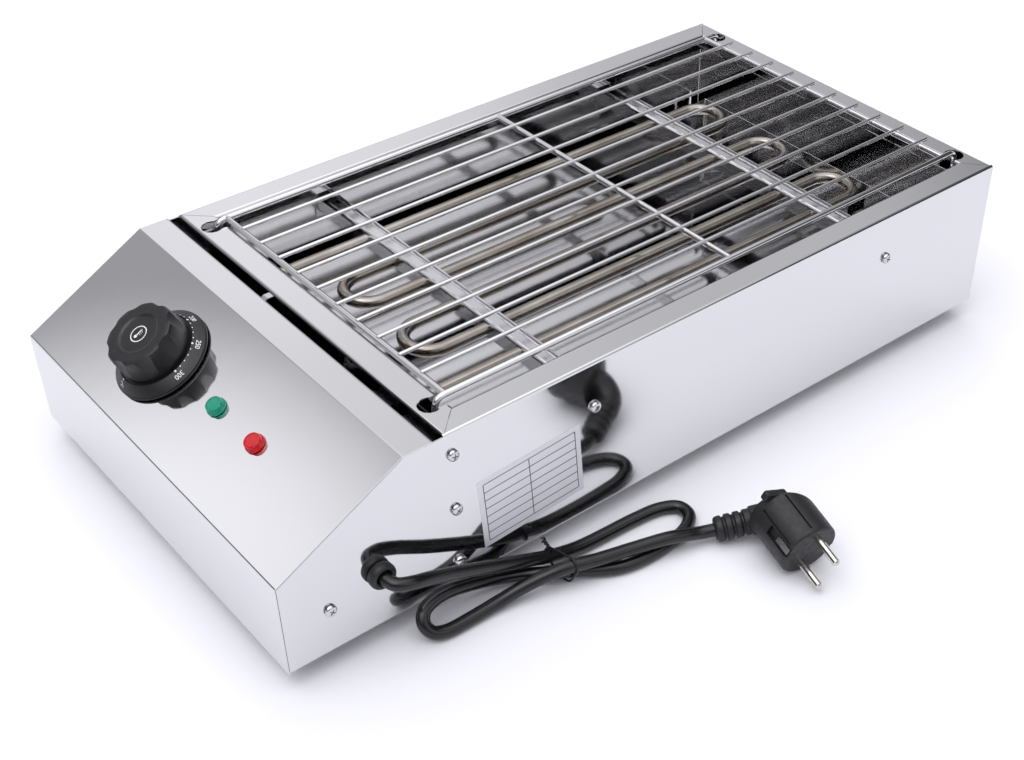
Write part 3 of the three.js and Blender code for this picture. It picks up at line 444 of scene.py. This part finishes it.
# %% Rings and blocks
def stacked_rings(rings, sides=64):
    """Builds a round piece as by hand: a disc, then extruded and scaled from ring to ring.

    rings are (radius, height) in millimetres, the first one a closed disc, the last one closed too.
    """
    deselect()
    radius, height = rings[0]
    bpy.ops.mesh.primitive_circle_add(vertices=sides, radius=radius * MM, fill_type="NGON",
                                      location=(0, 0, height * MM))
    piece = bpy.context.object
    bpy.ops.object.mode_set(mode="EDIT")
    bpy.ops.mesh.select_all(action="SELECT")
    bpy.ops.mesh.select_mode(type="FACE")
    for (r0, z0), (r1, z1) in zip(rings, rings[1:]):
        bpy.ops.mesh.extrude_region_move(TRANSFORM_OT_translate={"value": (0, 0, (z1 - z0) * MM)})
        bpy.ops.transform.resize(value=(r1 / r0, r1 / r0, 1))
    bpy.ops.mesh.select_all(action="SELECT")
    bpy.ops.mesh.normals_make_consistent(inside=False)
    bpy.ops.object.mode_set(mode="OBJECT")
    return settle(piece)


def block(centre, size):
    """A box by its centre and size in millimetres."""
    deselect()
    bpy.ops.mesh.primitive_cube_add(size=1, location=[v * MM for v in centre])
    bpy.context.object.scale = [v * MM for v in size]
    return settle(bpy.context.object)

# %% [markdown]
# ### Cuts, joins and modifiers
# A hole or a groove is cut with a solid of its shape, which is deleted afterwards. The exact solver
# is slower than the others, but it keeps thin walls closed. Other steps, such as a bevel, are
# modifiers too, and are applied at once, so that the next step works on what is seen.

# %% Cuts, joins and modifiers
def cut_away(piece, *tools):
    """Cuts the tools out of the piece, and deletes them."""
    for tool in tools:
        modifier = piece.modifiers.new("cut", "BOOLEAN")
        modifier.operation, modifier.solver, modifier.object = "DIFFERENCE", "EXACT", tool
        select_only(piece)
        bpy.ops.object.modifier_apply(modifier="cut")
        bpy.data.objects.remove(tool)
    return piece


def modified(piece, kind, **settings):
    """Adds a modifier with its settings, and applies it."""
    modifier = piece.modifiers.new("step", kind)
    for setting, value in settings.items():
        setattr(modifier, setting, value)
    select_only(piece)
    bpy.ops.object.modifier_apply(modifier="step")
    return piece


def joined(pieces):
    """Several meshes as one."""
    deselect()
    for piece in pieces:
        piece.select_set(True)
    bpy.context.view_layer.objects.active = pieces[0]
    if len(pieces) > 1:
        bpy.ops.object.join()
    return bpy.context.object

# %% [markdown]
# ### The plug's head
# The plug is moulded on to the lead in one shot of soft PVC. Its head is a short cylinder whose back
# slopes away from the lead, cut by one slanted plane. It is built with z along the pins, and is laid
# in the pins' true direction at the end.

# %% Plug head
pin_way = Vector((0.96, -0.16, -0.21)).normalized()
pin_line = Vector((0.25, 0.35, 0.9))
pin_line = (pin_line - pin_way * pin_line.dot(pin_way)).normalized()
plug_place = Matrix((pin_line.cross(pin_way), pin_line, pin_way)).transposed().to_4x4()
plug_place.translation = Vector((250.4, 0, 18.8)) * MM
head_radius, head_depth, lead_side_depth = 18.4, 36.0, 28.5

deselect()
bpy.ops.mesh.primitive_cylinder_add(vertices=72, radius=head_radius * MM, depth=head_depth * MM,
                                    location=(0, 0, -head_depth / 2 * MM))
plug_head = settle(bpy.context.object)
bpy.ops.object.mode_set(mode="EDIT")
bpy.ops.mesh.select_all(action="SELECT")
bpy.ops.mesh.bisect(plane_co=(0, 0, -lead_side_depth * MM), plane_no=(-0.4, 0, 1), use_fill=True,
                    clear_inner=True)
bpy.ops.object.mode_set(mode="OBJECT")
modified(plug_head, "BEVEL", width=1.6 * MM, segments=3, limit_method="ANGLE")
print("plug head faces:", len(plug_head.data.polygons))

# %% [markdown]
# ### The plug's sleeve, elbow and finger lip
# The sleeve has four grooves, which let it bend with the lead. An elbow leads from it into the head,
# and a lip behind the head gives a finger something to pull on.

# %% Plug sleeve, elbow and lip
sleeve_rings = [(4.7, 0), (6.6, 0.2), (7.4, 1.2), (7.7, 2.6)]
first_groove, groove_pitch = 4.6, 5.5
for i in range(4):
    start = first_groove + groove_pitch * i
    sleeve_rings += [(7.7, start), (6.4, start + 0.3), (6.4, start + 1.8), (7.8, start + 2.1)]
sleeve_rings += [(8.3, 24.5), (8.7, 28)]
sleeve_mouth, sleeve_way = (196, -21.5, 9), (0.48, 0.86, 0.16)
sleeve = settle(stacked_rings(sleeve_rings, 48), aimed(sleeve_mouth, sleeve_way))
elbow_route = [(206.5, -2.7, 12.5), (210.6, 4, 14), (216, 7, 17.4), (223, 6.5, 21.4), (231, 4, 22.6)]
elbow_radius = 8.8
elbow = swept(smooth_through(elbow_route), elbow_radius, 32)
finger_lip = modified(block((-11.5, 12.2, -33), (17, 6, 4.6)), "BEVEL", width=1.1 * MM, segments=2)
print("sleeve faces:", len(sleeve.data.polygons))

# %% [markdown]
# ### The plug's skin
# The forms are overlapped, remeshed into one skin and smoothed a little, as soft moulding rounds
# every joint. The slots of the earth strips and two shallow grooves are cut afterwards, so that they
# keep their edges.

# %% Plug skin
for form in (plug_head, finger_lip):
    settle(form, plug_place)
plug_forms = joined([plug_head, sleeve, elbow, finger_lip])
plug_skin = modified(plug_forms, "REMESH", mode="VOXEL", voxel_size=0.45 * MM)
modified(plug_skin, "SMOOTH", factor=0.5, iterations=5)
plug_cuts = [block((way * 18.5, 0, -9), (5.2, 6.4, 20)) for way in (-1, 1)]
for angle in (117, 165):
    groove = block((head_radius, 0, -16), (2.6, 1.3, 26))
    plug_cuts.append(settle(groove, Matrix.Rotation(math.radians(angle), 4, "Z")))
cut_away(plug_skin, *[settle(cutter, plug_place) for cutter in plug_cuts])
plug_skin = finish(plug_skin, "plug_moulding", "plug_rubber", replaces=["plug_body"], smooth=40)
print("plug faces:", len(plug_skin.data.polygons))

# %% [markdown]
# ### The wire tie
# A short length of coated wire goes once round the three runs of the lead and is twisted on the side
# of the wall. Its loop follows the outside of the runs in arcs, and each tail is a narrow helix round
# the twist's line, as twisting by hand makes it.

# %% Wire tie
def arc_points(centre, radius, start, end, steps):
    """Points round part of a circle, from one angle to another, in degrees."""
    angles = [math.radians(start + (end - start) * i / steps) for i in range(steps + 1)]
    return [(centre[0] + radius * math.cos(a), centre[1] + radius * math.sin(a)) for a in angles]


tie_radius, tie_y = 0.7, -109.6
tied_runs = [(Vector((153.2, 9.9)), 4.9), (Vector((165.9, 6.9)), 5.9), (Vector((171.4, 15.1)), 5.1)]
loop = []
for i, (run, reach) in enumerate(tied_runs):
    before, after = run - tied_runs[i - 1][0], tied_runs[(i + 1) % 3][0] - run
    start, end = (math.atan2(-way.x, way.y) for way in (before, after))
    end += 2 * math.pi if end < start else 0
    loop += arc_points(run, reach, math.degrees(start), math.degrees(end), 8)
loop_advance = 1.6
loop_turns = [(x, tie_y + loop_advance * i / len(loop), z) for i, (x, z) in enumerate(loop + loop[:2])]
twist_from = Vector(loop_turns[0])
tail_start, tail_step = Vector((0.3, 0.8, 0)), Vector((-0.75, 0, 0.3))
twist_radius, splayed_radius, twist_turn = 0.7, 1.5, 75
tails = []
for phase in (0, 180):
    tail = []
    for k in range(10):
        angle, out = math.radians(phase + twist_turn * k), twist_radius if k < 8 else splayed_radius
        round_way = Vector((0, out * math.cos(angle), out * math.sin(angle)))
        tail.append(twist_from + tail_start + tail_step * k + round_way)
    tails.append(swept(smooth_through(tail, 3), tie_radius * 0.8, 10))
wire_tie = joined([swept(loop_turns, tie_radius, 12), *tails])
finish(wire_tie, "lead_wire_tie", "tie_wire", replaces=["cord_tie"], smooth=60)
print("tie faces:", len(wire_tie.data.polygons))

# %% [markdown]
# ## The wire grid
# Real grids are butt-welded from straightened wire: two thick side wires whose ends are bent down into
# feet, three thick cross wires, and thinner bars on top that reach a little past the rear cross wire.
# A bend is a true arc, so the side wires are swept along straight runs and arcs.

# %% Wire grid
sheet_top, sheet_thickness, rim_lip, clearance, weld_depth = 119.1, 0.8, 10, 0.3, 0.9
side_wire_radius, bar_radius = 2.0, 1.25
side_wire_z = sheet_top + clearance + side_wire_radius
bar_z = side_wire_z + side_wire_radius + bar_radius - weld_depth
side_wire_x, foot_end_z, foot_bend = 114, sheet_top - rim_lip + sheet_thickness + clearance, 6
bar_pitch = 2 * side_wire_x / 11
foot_front_y, foot_rear_y = -154, 264


def side_wire(x):
    """One thick side wire: foot, bend, long run, bend and foot."""
    centre_z = side_wire_z - foot_bend
    front_bend = arc_points((foot_front_y + foot_bend, centre_z), foot_bend, 180, 90, 10)
    rear_bend = arc_points((foot_rear_y - foot_bend, centre_z), foot_bend, 90, 0, 10)
    line = [(foot_front_y, foot_end_z), *front_bend, *rear_bend, (foot_rear_y, foot_end_z)]
    return swept([(x, y, z) for y, z in line], side_wire_radius, 20)


grid_wires = [side_wire(-side_wire_x), side_wire(side_wire_x)]
cross_wire_places = (-147, 60.15, 251.3)
for y in cross_wire_places:
    cross_wire = [(-side_wire_x, y, side_wire_z), (side_wire_x, y, side_wire_z)]
    grid_wires.append(swept(cross_wire, side_wire_radius, 20))
bar_front_y, bar_rear_y = -147.5, 259
for i in range(10):
    x = (i - 4.5) * bar_pitch
    grid_wires.append(swept([(x, bar_front_y, bar_z), (x, bar_rear_y, bar_z)], bar_radius, 14))
wire_grid = finish(joined(grid_wires), "wire_grid", "chrome_wire", "grid", ["cooking_grid"], smooth=40)
print("grid:", len(grid_wires), "wires,", len(wire_grid.data.polygons), "faces")

# %% [markdown]
# ## The heating tube
# The element is one long tube, bent five times on a mandrel, with its two ends leading into the control
# box. Only the bends are round, so straight legs need no points between their ends. A sweep keeps the
# tube's section round all the way, which extruded cylinders joined at the bends wouldn't.

# %% Heating tube
tube_z, leg_pitch, bend_rear_y, bend_front_y, tube_end_y = 93.2, 31.5, 201, -100.5, -186.5
leg_x = [(i - 2.5) * leg_pitch for i in range(6)]
tube_line = [(leg_x[0], tube_end_y)]
for i, (left, right) in enumerate(zip(leg_x, leg_x[1:])):
    rear_bend = i % 2 == 0
    centre = ((left + right) / 2, bend_rear_y if rear_bend else bend_front_y)
    tube_line += arc_points(centre, leg_pitch / 2, 180 if rear_bend else -180, 0, 24)
tube_line.append((leg_x[-1], tube_end_y))
tube_radius = 4
heating_tube = swept([(x, y, tube_z) for x, y in tube_line], tube_radius, 24)
finish(heating_tube, "heating_tube", "element_tube", replaces=["heating_element"], smooth=60)
print("tube faces:", len(heating_tube.data.polygons))

# %% [markdown]
# ## Frame of the sloping panel
# The dial and the lamps sit on the slope. Their pieces are built flat, with z as the slope's own
# outward direction, and are then laid on it by one matrix. That keeps their numbers simple, and moves
# them all together if the slope is measured again.

# %% Slope
slope_foot = Vector((0, -272.5, 75.5))
slope_run, slope_rise = 80.5, 43.6
slope_angle = math.atan2(slope_rise, slope_run)
slope_middle = math.hypot(slope_run, slope_rise) / 2
on_slope = Matrix.Translation(slope_foot * MM) @ Matrix.Rotation(slope_angle, 4, "X")


def at_slope(x):
    """The matrix for a piece whose origin goes on the slope's middle line at x."""
    return on_slope @ Matrix.Translation(Vector((x, slope_middle, 0)) * MM)


print("slope:", round(math.degrees(slope_angle), 1), "degrees")

# %% [markdown]
# ### The knob
# The knob is one moulding: a grip with eight finger hollows on a sloping skirt that carries the scale.
# It is raised ring by ring from its rim. The hollows are cut by leaning cylinders, so that they are
# deep at the top and run out above the skirt, as on the real one.

# %% Knob
dial_x = -42
grip_foot = 22.4
knob_rings = [(28.2, 1.0), (29.6, 1.0), (30.0, 1.3), (30.0, 2.0), (29.85, 2.3), (29.4, 2.35),
              (29.35, 2.886), (24.1, 7.178), (23.8, 7.3), (23.2, 6.9), (21.4, 6.9), (21.4, 8.8),
              (22.2, 9.3), (22.4, 9.9),
              (21.15, 22.4), (20.9, 23.3), (20.4, 23.95), (19.6, 24.3), (13.2, 24.3), (12.6, 24.15),
              (12.0, 23.7), (11.2, 23.5), (0.6, 23.5)]
knob_body = stacked_rings(knob_rings, 128)
hollow_count, hollow_radius, hollow_gap, hollow_lean, hollow_turn = 8, 11.2, 0.75, 0.285, 18


def hollow_cutter(angle):
    """A leaning cylinder that scoops one finger hollow: it starts hollow_gap clear of the foot."""
    foot = grip_foot + hollow_radius + hollow_gap
    base_z, top_z = 9.6, 28.0
    deselect()
    bpy.ops.mesh.primitive_cylinder_add(vertices=96, radius=hollow_radius * MM,
                                        depth=(top_z - base_z) * MM,
                                        location=(foot * MM, 0, (base_z + top_z) / 2 * MM))
    cutter = settle(bpy.context.object)
    for vertex in cutter.data.vertices:
        vertex.co.x -= hollow_lean * (vertex.co.z - base_z * MM)
    return settle(cutter, Matrix.Rotation(math.radians(angle), 4, "Z"))


hollow_pitch = 360 / hollow_count
cut_away(knob_body, *[hollow_cutter(hollow_turn + hollow_pitch * i) for i in range(hollow_count)])
skirt_inside = stacked_rings([(28.2, 0.2), (28.2, 1.2), (18.8, 7.6), (17.4, 20.5)], 96)
cut_away(knob_body, skirt_inside)
finish(settle(knob_body, at_slope(dial_x)), "knob_moulding", "knob_plastic", "knob", ["knob"], smooth=25)
print("knob faces:", len(knob_body.data.polygons))

# %% [markdown]
# ### The knob's hub
# Under the grip, a round boss takes the thermostat's flattened shaft. It is a short thick tube, and
# four corners spun round its axis make it without a cut.

# %% Knob hub
hub = spun([(3.3, 4), (6.4, 4), (6.4, 20.8), (3.3, 20.8)], 32)
finish(settle(hub, at_slope(dial_x)), "knob_hub", "knob_plastic", "knob")
print("hub faces:", len(hub.data.polygons))

# %% [markdown]
# ### Marks on a cone
# The scale is printed on the skirt's cone, so each mark is made flat, turned to its place and tilted
# to the cone. Lettering starts as a text object and becomes a mesh before it is placed.

# %% Marks on a cone
dot_radius_from_axis, number_radius_from_axis = 24.3, 26.6
digit_share, bolder, half_ink = 0.7, 0.00003, 0.00002
cone_drop, cone_width, cone_foot_radius, cone_foot_z, print_lift = 5.15, 6.3, 29.7, 2.6, 0.06
cone_tilt = math.atan2(cone_drop, cone_width)


def cone_height(radius):
    """Height of the skirt's surface, a hair above it, at a distance from the axis."""
    return cone_foot_z + (cone_foot_radius - radius) * cone_drop / cone_width + print_lift


def on_cone(angle, radius):
    """The matrix for a flat mark on the skirt, its y pointing outwards and down the cone."""
    turn = Matrix.Rotation(math.radians(angle - 90), 4, "Z")
    tilt = Matrix.Rotation(-cone_tilt, 4, "X")
    return turn @ Matrix.Translation(Vector((0, radius, cone_height(radius))) * MM) @ tilt


def printed_text(words, height_mm):
    """Flat lettering, centred on the origin, as a mesh."""
    deselect()
    bpy.ops.object.text_add()
    text = bpy.context.object
    text.data.body = words
    text.data.size = height_mm * MM / digit_share
    text.data.align_x, text.data.align_y = "CENTER", "CENTER"
    text.data.offset = bolder
    text.data.extrude = half_ink
    bpy.ops.object.convert(target="MESH")
    return bpy.context.object


def printed_dot(radius_mm):
    """A flat dot, centred on the origin."""
    deselect()
    bpy.ops.mesh.primitive_cylinder_add(vertices=16, radius=radius_mm * MM, depth=2 * half_ink)
    return bpy.context.object


print("cone tilt:", round(math.degrees(cone_tilt), 1), "degrees")

# %% [markdown]
# ### The scale
# Dots stand every ten degrees round the grip's foot, with a bigger one and a number every fifty.
# The scale could be painted as a picture, but marks as thin meshes stay sharp close by. It turns with
# the knob, so it rides on the knob's body.

# %% Scale
hottest, hottest_angle, turn_per_degree = 300, -2.7, 0.906


def dial_angle(temperature):
    """Where a temperature stands round the dial, in degrees."""
    return hottest_angle + (hottest - temperature) * turn_per_degree


marks = []
for temperature in range(50, hottest + 1, 10):
    big = temperature % 50 == 0
    angle = dial_angle(temperature)
    marks.append(settle(printed_dot(0.62 if big else 0.36), on_cone(angle, dot_radius_from_axis)))
    if big:
        number = printed_text(str(temperature), 2.7)
        marks.append(settle(number, on_cone(angle, number_radius_from_axis)))
unit_angle = -94
marks.append(settle(printed_dot(0.5), on_cone(unit_angle, dot_radius_from_axis)))
marks.append(settle(printed_text("°C", 2.5), on_cone(unit_angle, number_radius_from_axis)))
scale_print = joined(marks)


def finish_print(piece, name, body):
    """Printed marks take the white ink, and ride with what they are printed on."""
    piece.name = piece.data.name = name
    piece.data.materials.clear()
    piece.data.materials.append(white_print)
    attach(piece, body)
    return piece


finish_print(settle(scale_print, at_slope(dial_x)), "dial_scale_print", "knob")
print("marks on the scale:", len(marks))

# %% [markdown]
# ### The sign on the grip
# In the grip's shallow recess a white ring is printed with a plain thermometer sign in it: a tube with
# a bulb at its foot and three short strokes beside it. Discs and bars as thin as the ink lie on the
# recess's floor, where they can be moved one by one.

# %% Thermometer sign
sign_z, print_thickness = 23.56, 0.04
ring_foot = sign_z - print_thickness
ring_section = [(4.75, ring_foot), (5.35, ring_foot), (5.35, sign_z), (4.75, sign_z)]
sign_parts = [spun(ring_section, 64)]


def flat_disc(centre, radius):
    """A printed disc in the grip's recess, by its centre in millimetres."""
    deselect()
    place = [v * MM for v in (*centre, sign_z - print_thickness / 2)]
    bpy.ops.mesh.primitive_cylinder_add(vertices=32, radius=radius * MM, depth=print_thickness * MM,
                                        location=place)
    return settle(bpy.context.object)


def flat_bar(centre, size):
    """A printed bar in the grip's recess."""
    return block((*centre, sign_z - print_thickness / 2), (*size, print_thickness))


bulb, stem = flat_disc((-0.4, -2.1), 1.1), flat_bar((-0.4, 0.5), (0.85, 4.6))
stem_top = flat_disc((-0.4, 2.8), 0.42)
strokes = [flat_bar((1.2, y), (1.1, 0.28)) for y in (0.1, 1.2, 2.3)]
sign_parts += [bulb, stem, stem_top, *strokes]
sign = settle(joined(sign_parts), at_slope(dial_x))
finish_print(sign, "grip_sign_print", "knob")
print("parts of the sign:", len(sign_parts))

# %% [markdown]
# ### Signal lamps
# Each lamp is a clear cap with a thin collar that rests on the sheet. Its face is flat and lies a
# little below its rounded rim, and its stem goes through the sheet into the lamp's body. Such a turned
# form is a stack of rings from the stem's end to the middle of the face.

# %% Lamps
def lamp_cap(name, x, slot, node):
    """One lamp's cap, laid on the slope at x."""
    rings = [(3.7, -8.0), (3.7, 0.25), (5.8, 0.25), (5.95, 0.4), (5.95, 1.0), (5.8, 1.25), (5.3, 1.3),
             (5.2, 1.6), (5.1, 3.7), (4.9, 4.2), (4.5, 4.5), (4.1, 4.45), (3.9, 4.1), (0.4, 4.05)]
    cap = stacked_rings(rings, 64)
    return finish(settle(cap, at_slope(x)), name, slot, replaces=[node], smooth=30)


green_x, red_x = 19, 59.5
lamp_cap("green_lamp_cap", green_x, "green_lens", "lamp_lens_green")
lamp_cap("red_lamp_cap", red_x, "red_lens", "lamp_lens_red")
print("lamps at x:", green_x, red_x)

# %% [markdown]
# ## Pan-head screws
# Six screws hold each side. One screw is modelled, with its low dome and its crossed slots, and each
# screw on the walls is a copy of it with its own mesh, turned a different way as a driver leaves it.

# %% Screws
def pan_head(head, height, shank, length):
    """A screw standing on z = 0.3, its shank downwards."""
    rings = [(shank, -length), (shank, 0.3), (head - 0.15, 0.3), (head, 0.45), (head, height * 0.45),
             (head * 0.93, height * 0.72), (head * 0.78, height * 0.9), (head * 0.5, height),
             (0.3, height + 0.03)]
    screw = stacked_rings(rings, 32)
    slot_size = (head * 1.05, 0.85, 2.2)
    slots = [settle(block((0, 0, height), slot_size), Matrix.Rotation(math.radians(turn), 4, "Z"))
             for turn in (0, 90)]
    return cut_away(screw, *slots)


screw_master = pan_head(head=3.5, height=2.5, shank=1.75, length=7)
side_wall_x = 140
side_screw_places = [(-243.7, 43.5), (-162, 29.3), (-162, 66.9), (-162, 104.5), (-66, 88.5),
                     (173.5, 88.5)]
for side, way in (("left", -1), ("right", 1)):
    for i, (y, z) in enumerate(side_screw_places, 1):
        copy = bpy.data.objects.new("screw", screw_master.data.copy())
        bpy.context.collection.objects.link(copy)
        spin = Matrix.Rotation(math.radians(37 * i + 20 * way), 4, "Z")
        settle(copy, aimed((way * side_wall_x, y, z), (way, 0, 0)) @ spin)
        node = f"side_screw_{side}_{i}"
        finish(copy, f"pan_screw_{side}_{i}", "screw_steel", replaces=[node], smooth=30)
bpy.data.objects.remove(screw_master)
print("side screws:", 2 * len(side_screw_places))

# %% [markdown]
# ## The data plate
# A thin pale foil plate is stuck to the side wall. It isn't quite level, because it was stuck on by
# hand, so it is drawn from the places of its table's corners on the wall instead of being turned. A
# narrow bevel catches the light along its edge, as cut foil does.

# %% Data plate
plate_foil, foil_shader = new_finish("satin_aluminium_foil_label", "e2e3e8", 0.25, 0.4)
vary(plate_foil, foil_shader, "Roughness", noise(plate_foil, 1.5), 0.38, 0.48)
dark_ink, ink_shader = new_finish("printed_dark_ink", "24262c", 0.0, 0.55)
vary(dark_ink, ink_shader, "Roughness", noise(dark_ink, 0.5), 0.5, 0.62)
plate_corner, plate_top = Vector((-144.1, 73.5)), Vector((-80.6, 77.8))
plate_side = Vector((-141.3, 31.9))
plate_x, plate_margin, rule_width = 140.02, 3.6, 0.5


def on_wall(along, down):
    """A place on the wall, from shares along the plate's table and down it."""
    spot = plate_corner + (plate_top - plate_corner) * along + (plate_side - plate_corner) * down
    return Vector((plate_x, spot.x, spot.y))


def thin_slab(corners, thickness):
    """A thin slab from its four corners on the wall, counted the way that faces it outwards."""
    slab = drawn(corners, faces=[(0, 1, 2, 3)])
    bpy.ops.object.mode_set(mode="EDIT")
    bpy.ops.mesh.select_all(action="SELECT")
    bpy.ops.mesh.extrude_region_move(TRANSFORM_OT_translate={"value": (thickness * MM, 0, 0)})
    bpy.ops.mesh.select_all(action="SELECT")
    bpy.ops.mesh.normals_make_consistent(inside=False)
    bpy.ops.object.mode_set(mode="OBJECT")
    return slab


table_width, table_height = (plate_top - plate_corner).length, (plate_side - plate_corner).length
side_share, end_share = plate_margin / table_width, plate_margin / table_height
edges = [(-side_share, 1 + end_share), (1 + side_share, 1 + end_share), (1 + side_share, -end_share),
         (-side_share, -end_share)]
foil = thin_slab([on_wall(*edge) for edge in edges], 0.12)
modified(foil, "BEVEL", width=0.05 * MM, segments=2, limit_method="ANGLE")
foil.name = foil.data.name = "data_plate"
foil.data.materials.append(plate_foil)
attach(foil, "casing")
print("plate table:", round(table_width, 1), "x", round(table_height, 1), "mm")

# %% [markdown]
# ### The plate's rules
# A table of thin dark rules is printed on the foil, and its cells are left bare. Each rule is a slab
# as thin as ink, a hair above the foil, so that the two never share a face.

# %% Plate rules
rules = []
plate_x += 0.14
row_count, ink_thickness = 7, 0.02
half = rule_width / 2 / table_height
for row in range(row_count + 1):
    down = row / row_count
    rules.append(thin_slab([on_wall(0, down + half), on_wall(1, down + half),
                            on_wall(1, down - half), on_wall(0, down - half)], ink_thickness))
half = rule_width / 2 / table_width
for along in (0, 0.49, 1):
    rules.append(thin_slab([on_wall(along - half, 1), on_wall(along + half, 1),
                            on_wall(along + half, 0), on_wall(along - half, 0)], ink_thickness))
table_rules = joined(rules)
table_rules.name = table_rules.data.name = "data_plate_rules"
table_rules.data.materials.append(dark_ink)
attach(table_rules, "casing")
print("rules:", len(rules))

# %% [markdown]
# ## Rubber feet
# Each foot is a tapered bumper with a neck and a mushroom head that snaps through the base. It is
# round and hollow, so its section is drawn once and spun, with a bore left open in the middle.

# %% Feet
foot_outline = [(3.75, 0.0), (7.9, 0.0), (8.5, 0.3), (8.85, 1.0), (12.0, 12.2), (12.25, 12.9),
                (12.2, 13.6), (11.8, 14.1), (11.2, 14.3), (6.2, 14.3), (6.2, 15.7), (8.2, 15.7),
                (8.5, 16.0), (8.4, 16.8), (5.3, 21.1), (4.7, 21.6), (4.2, 21.6), (3.75, 21.2)]
foot_x, foot_y = 112, 245
for end, y in (("front", -foot_y), ("rear", foot_y)):
    for side, x in (("left", -foot_x), ("right", foot_x)):
        rubber = settle(spun(foot_outline, 64), Matrix.Translation(Vector((x, y, 0)) * MM))
        finish(rubber, f"rubber_foot_{end}_{side}", "foot_rubber", replaces=[f"foot_{end}_{side}"],
               smooth=30)
print("faces of a foot:", len(rubber.data.polygons))

# %% [markdown]
# ## The floor
# The picture was taken on plain white paper. A wide pale floor does the same: it is seen all round the
# grill, and its upright walls mirror it.

# %% Floor
floor_finish, _ = new_finish("pale_studio_floor", "f0f0f4", 0.0, 0.9)
deselect()
bpy.ops.mesh.primitive_plane_add(size=12, location=(0, 0, 0))
floor = bpy.context.object
floor.name = "studio_floor"
floor.data.materials.append(floor_finish)
print("floor:", [round(v) for v in floor.dimensions[:2]], "m")

# %% [markdown]
# ### A soft light far away
# Polished steel shows its surroundings, so the light is set by what each face of the grill mirrors.
# A soft light can be drawn as a glow on the sky: how far a direction is from the glow's middle says
# how bright it is. This has no hard edges and little noise.

# %% Glow
studio = bpy.data.worlds.new("studio")
bpy.context.scene.world = studio
studio.use_nodes = True
sky_way = add_node(studio, "ShaderNodeTexCoord").outputs["Generated"]


def glow(azimuth, elevation, core, edge, strength):
    """A soft light far away. Azimuth turns from the grill's front to its right; core and edge are the
    angles from its middle at which it starts to fade and has faded."""
    turn, rise = math.radians(azimuth), math.radians(elevation)
    middle = (math.sin(turn) * math.cos(rise), -math.cos(turn) * math.cos(rise), math.sin(rise))
    facing = add_node(studio, "ShaderNodeVectorMath", {0: sky_way}, {1: middle})
    facing.operation = "DOT_PRODUCT"
    far, near = math.cos(math.radians(edge)), math.cos(math.radians(core))
    limits = {"From Min": far, "From Max": near, "To Min": 0.0, "To Max": strength}
    fade = add_node(studio, "ShaderNodeMapRange", {"Value": facing.outputs["Value"]}, limits)
    fade.interpolation_type = "SMOOTHSTEP"
    return fade.outputs["Result"]

# %% [markdown]
# ### The studio's lights
# There is a broad light overhead, one above the front, one at the front left that the slope mirrors,
# two at the rear left that the rims mirror, and weak ones at both sides. Between them the room is
# dark, which gives the wires and the tube their dark edges. A pale band along the horizon stands for
# the paper that the floor runs into.

# %% Studio lights
room_level = 0.07
glows = [
    glow(0, 90, 20, 50, 1.95),
    glow(8, 58, 8, 36, 1.9),
    glow(78, 36, 6, 26, 0.5),
    glow(-56, 35, 3, 12.5, 0.95),
    glow(-90, 28, 8, 40, 0.42),
    glow(-124, 36, 13, 26, 0.6),
    glow(-119.5, 27.5, 2.5, 9, 0.12),
    glow(112, 32, 6, 24, 1.1),
]
sky_height = add_node(studio, "ShaderNodeSeparateXYZ", {"Vector": sky_way}).outputs["Z"]
horizon_limits = {"From Min": 0.14, "From Max": 0.34, "To Min": 0.6, "To Max": 0.0}
horizon = add_node(studio, "ShaderNodeMapRange", {"Value": sky_height}, horizon_limits)
horizon.interpolation_type = "SMOOTHSTEP"
total = horizon.outputs["Result"]
for one in glows:
    total = add_node(studio, "ShaderNodeMath", {0: total, 1: one}).outputs["Value"]
total = add_node(studio, "ShaderNodeMath", {0: total}, {1: room_level}).outputs["Value"]
backdrop = studio.node_tree.nodes["Background"]
backdrop.inputs["Color"].default_value = from_hex("f6f6fb")
studio.node_tree.links.new(total, backdrop.inputs["Strength"])
bpy.context.scene.view_settings.view_transform = "Standard"
print("glows:", len(glows))
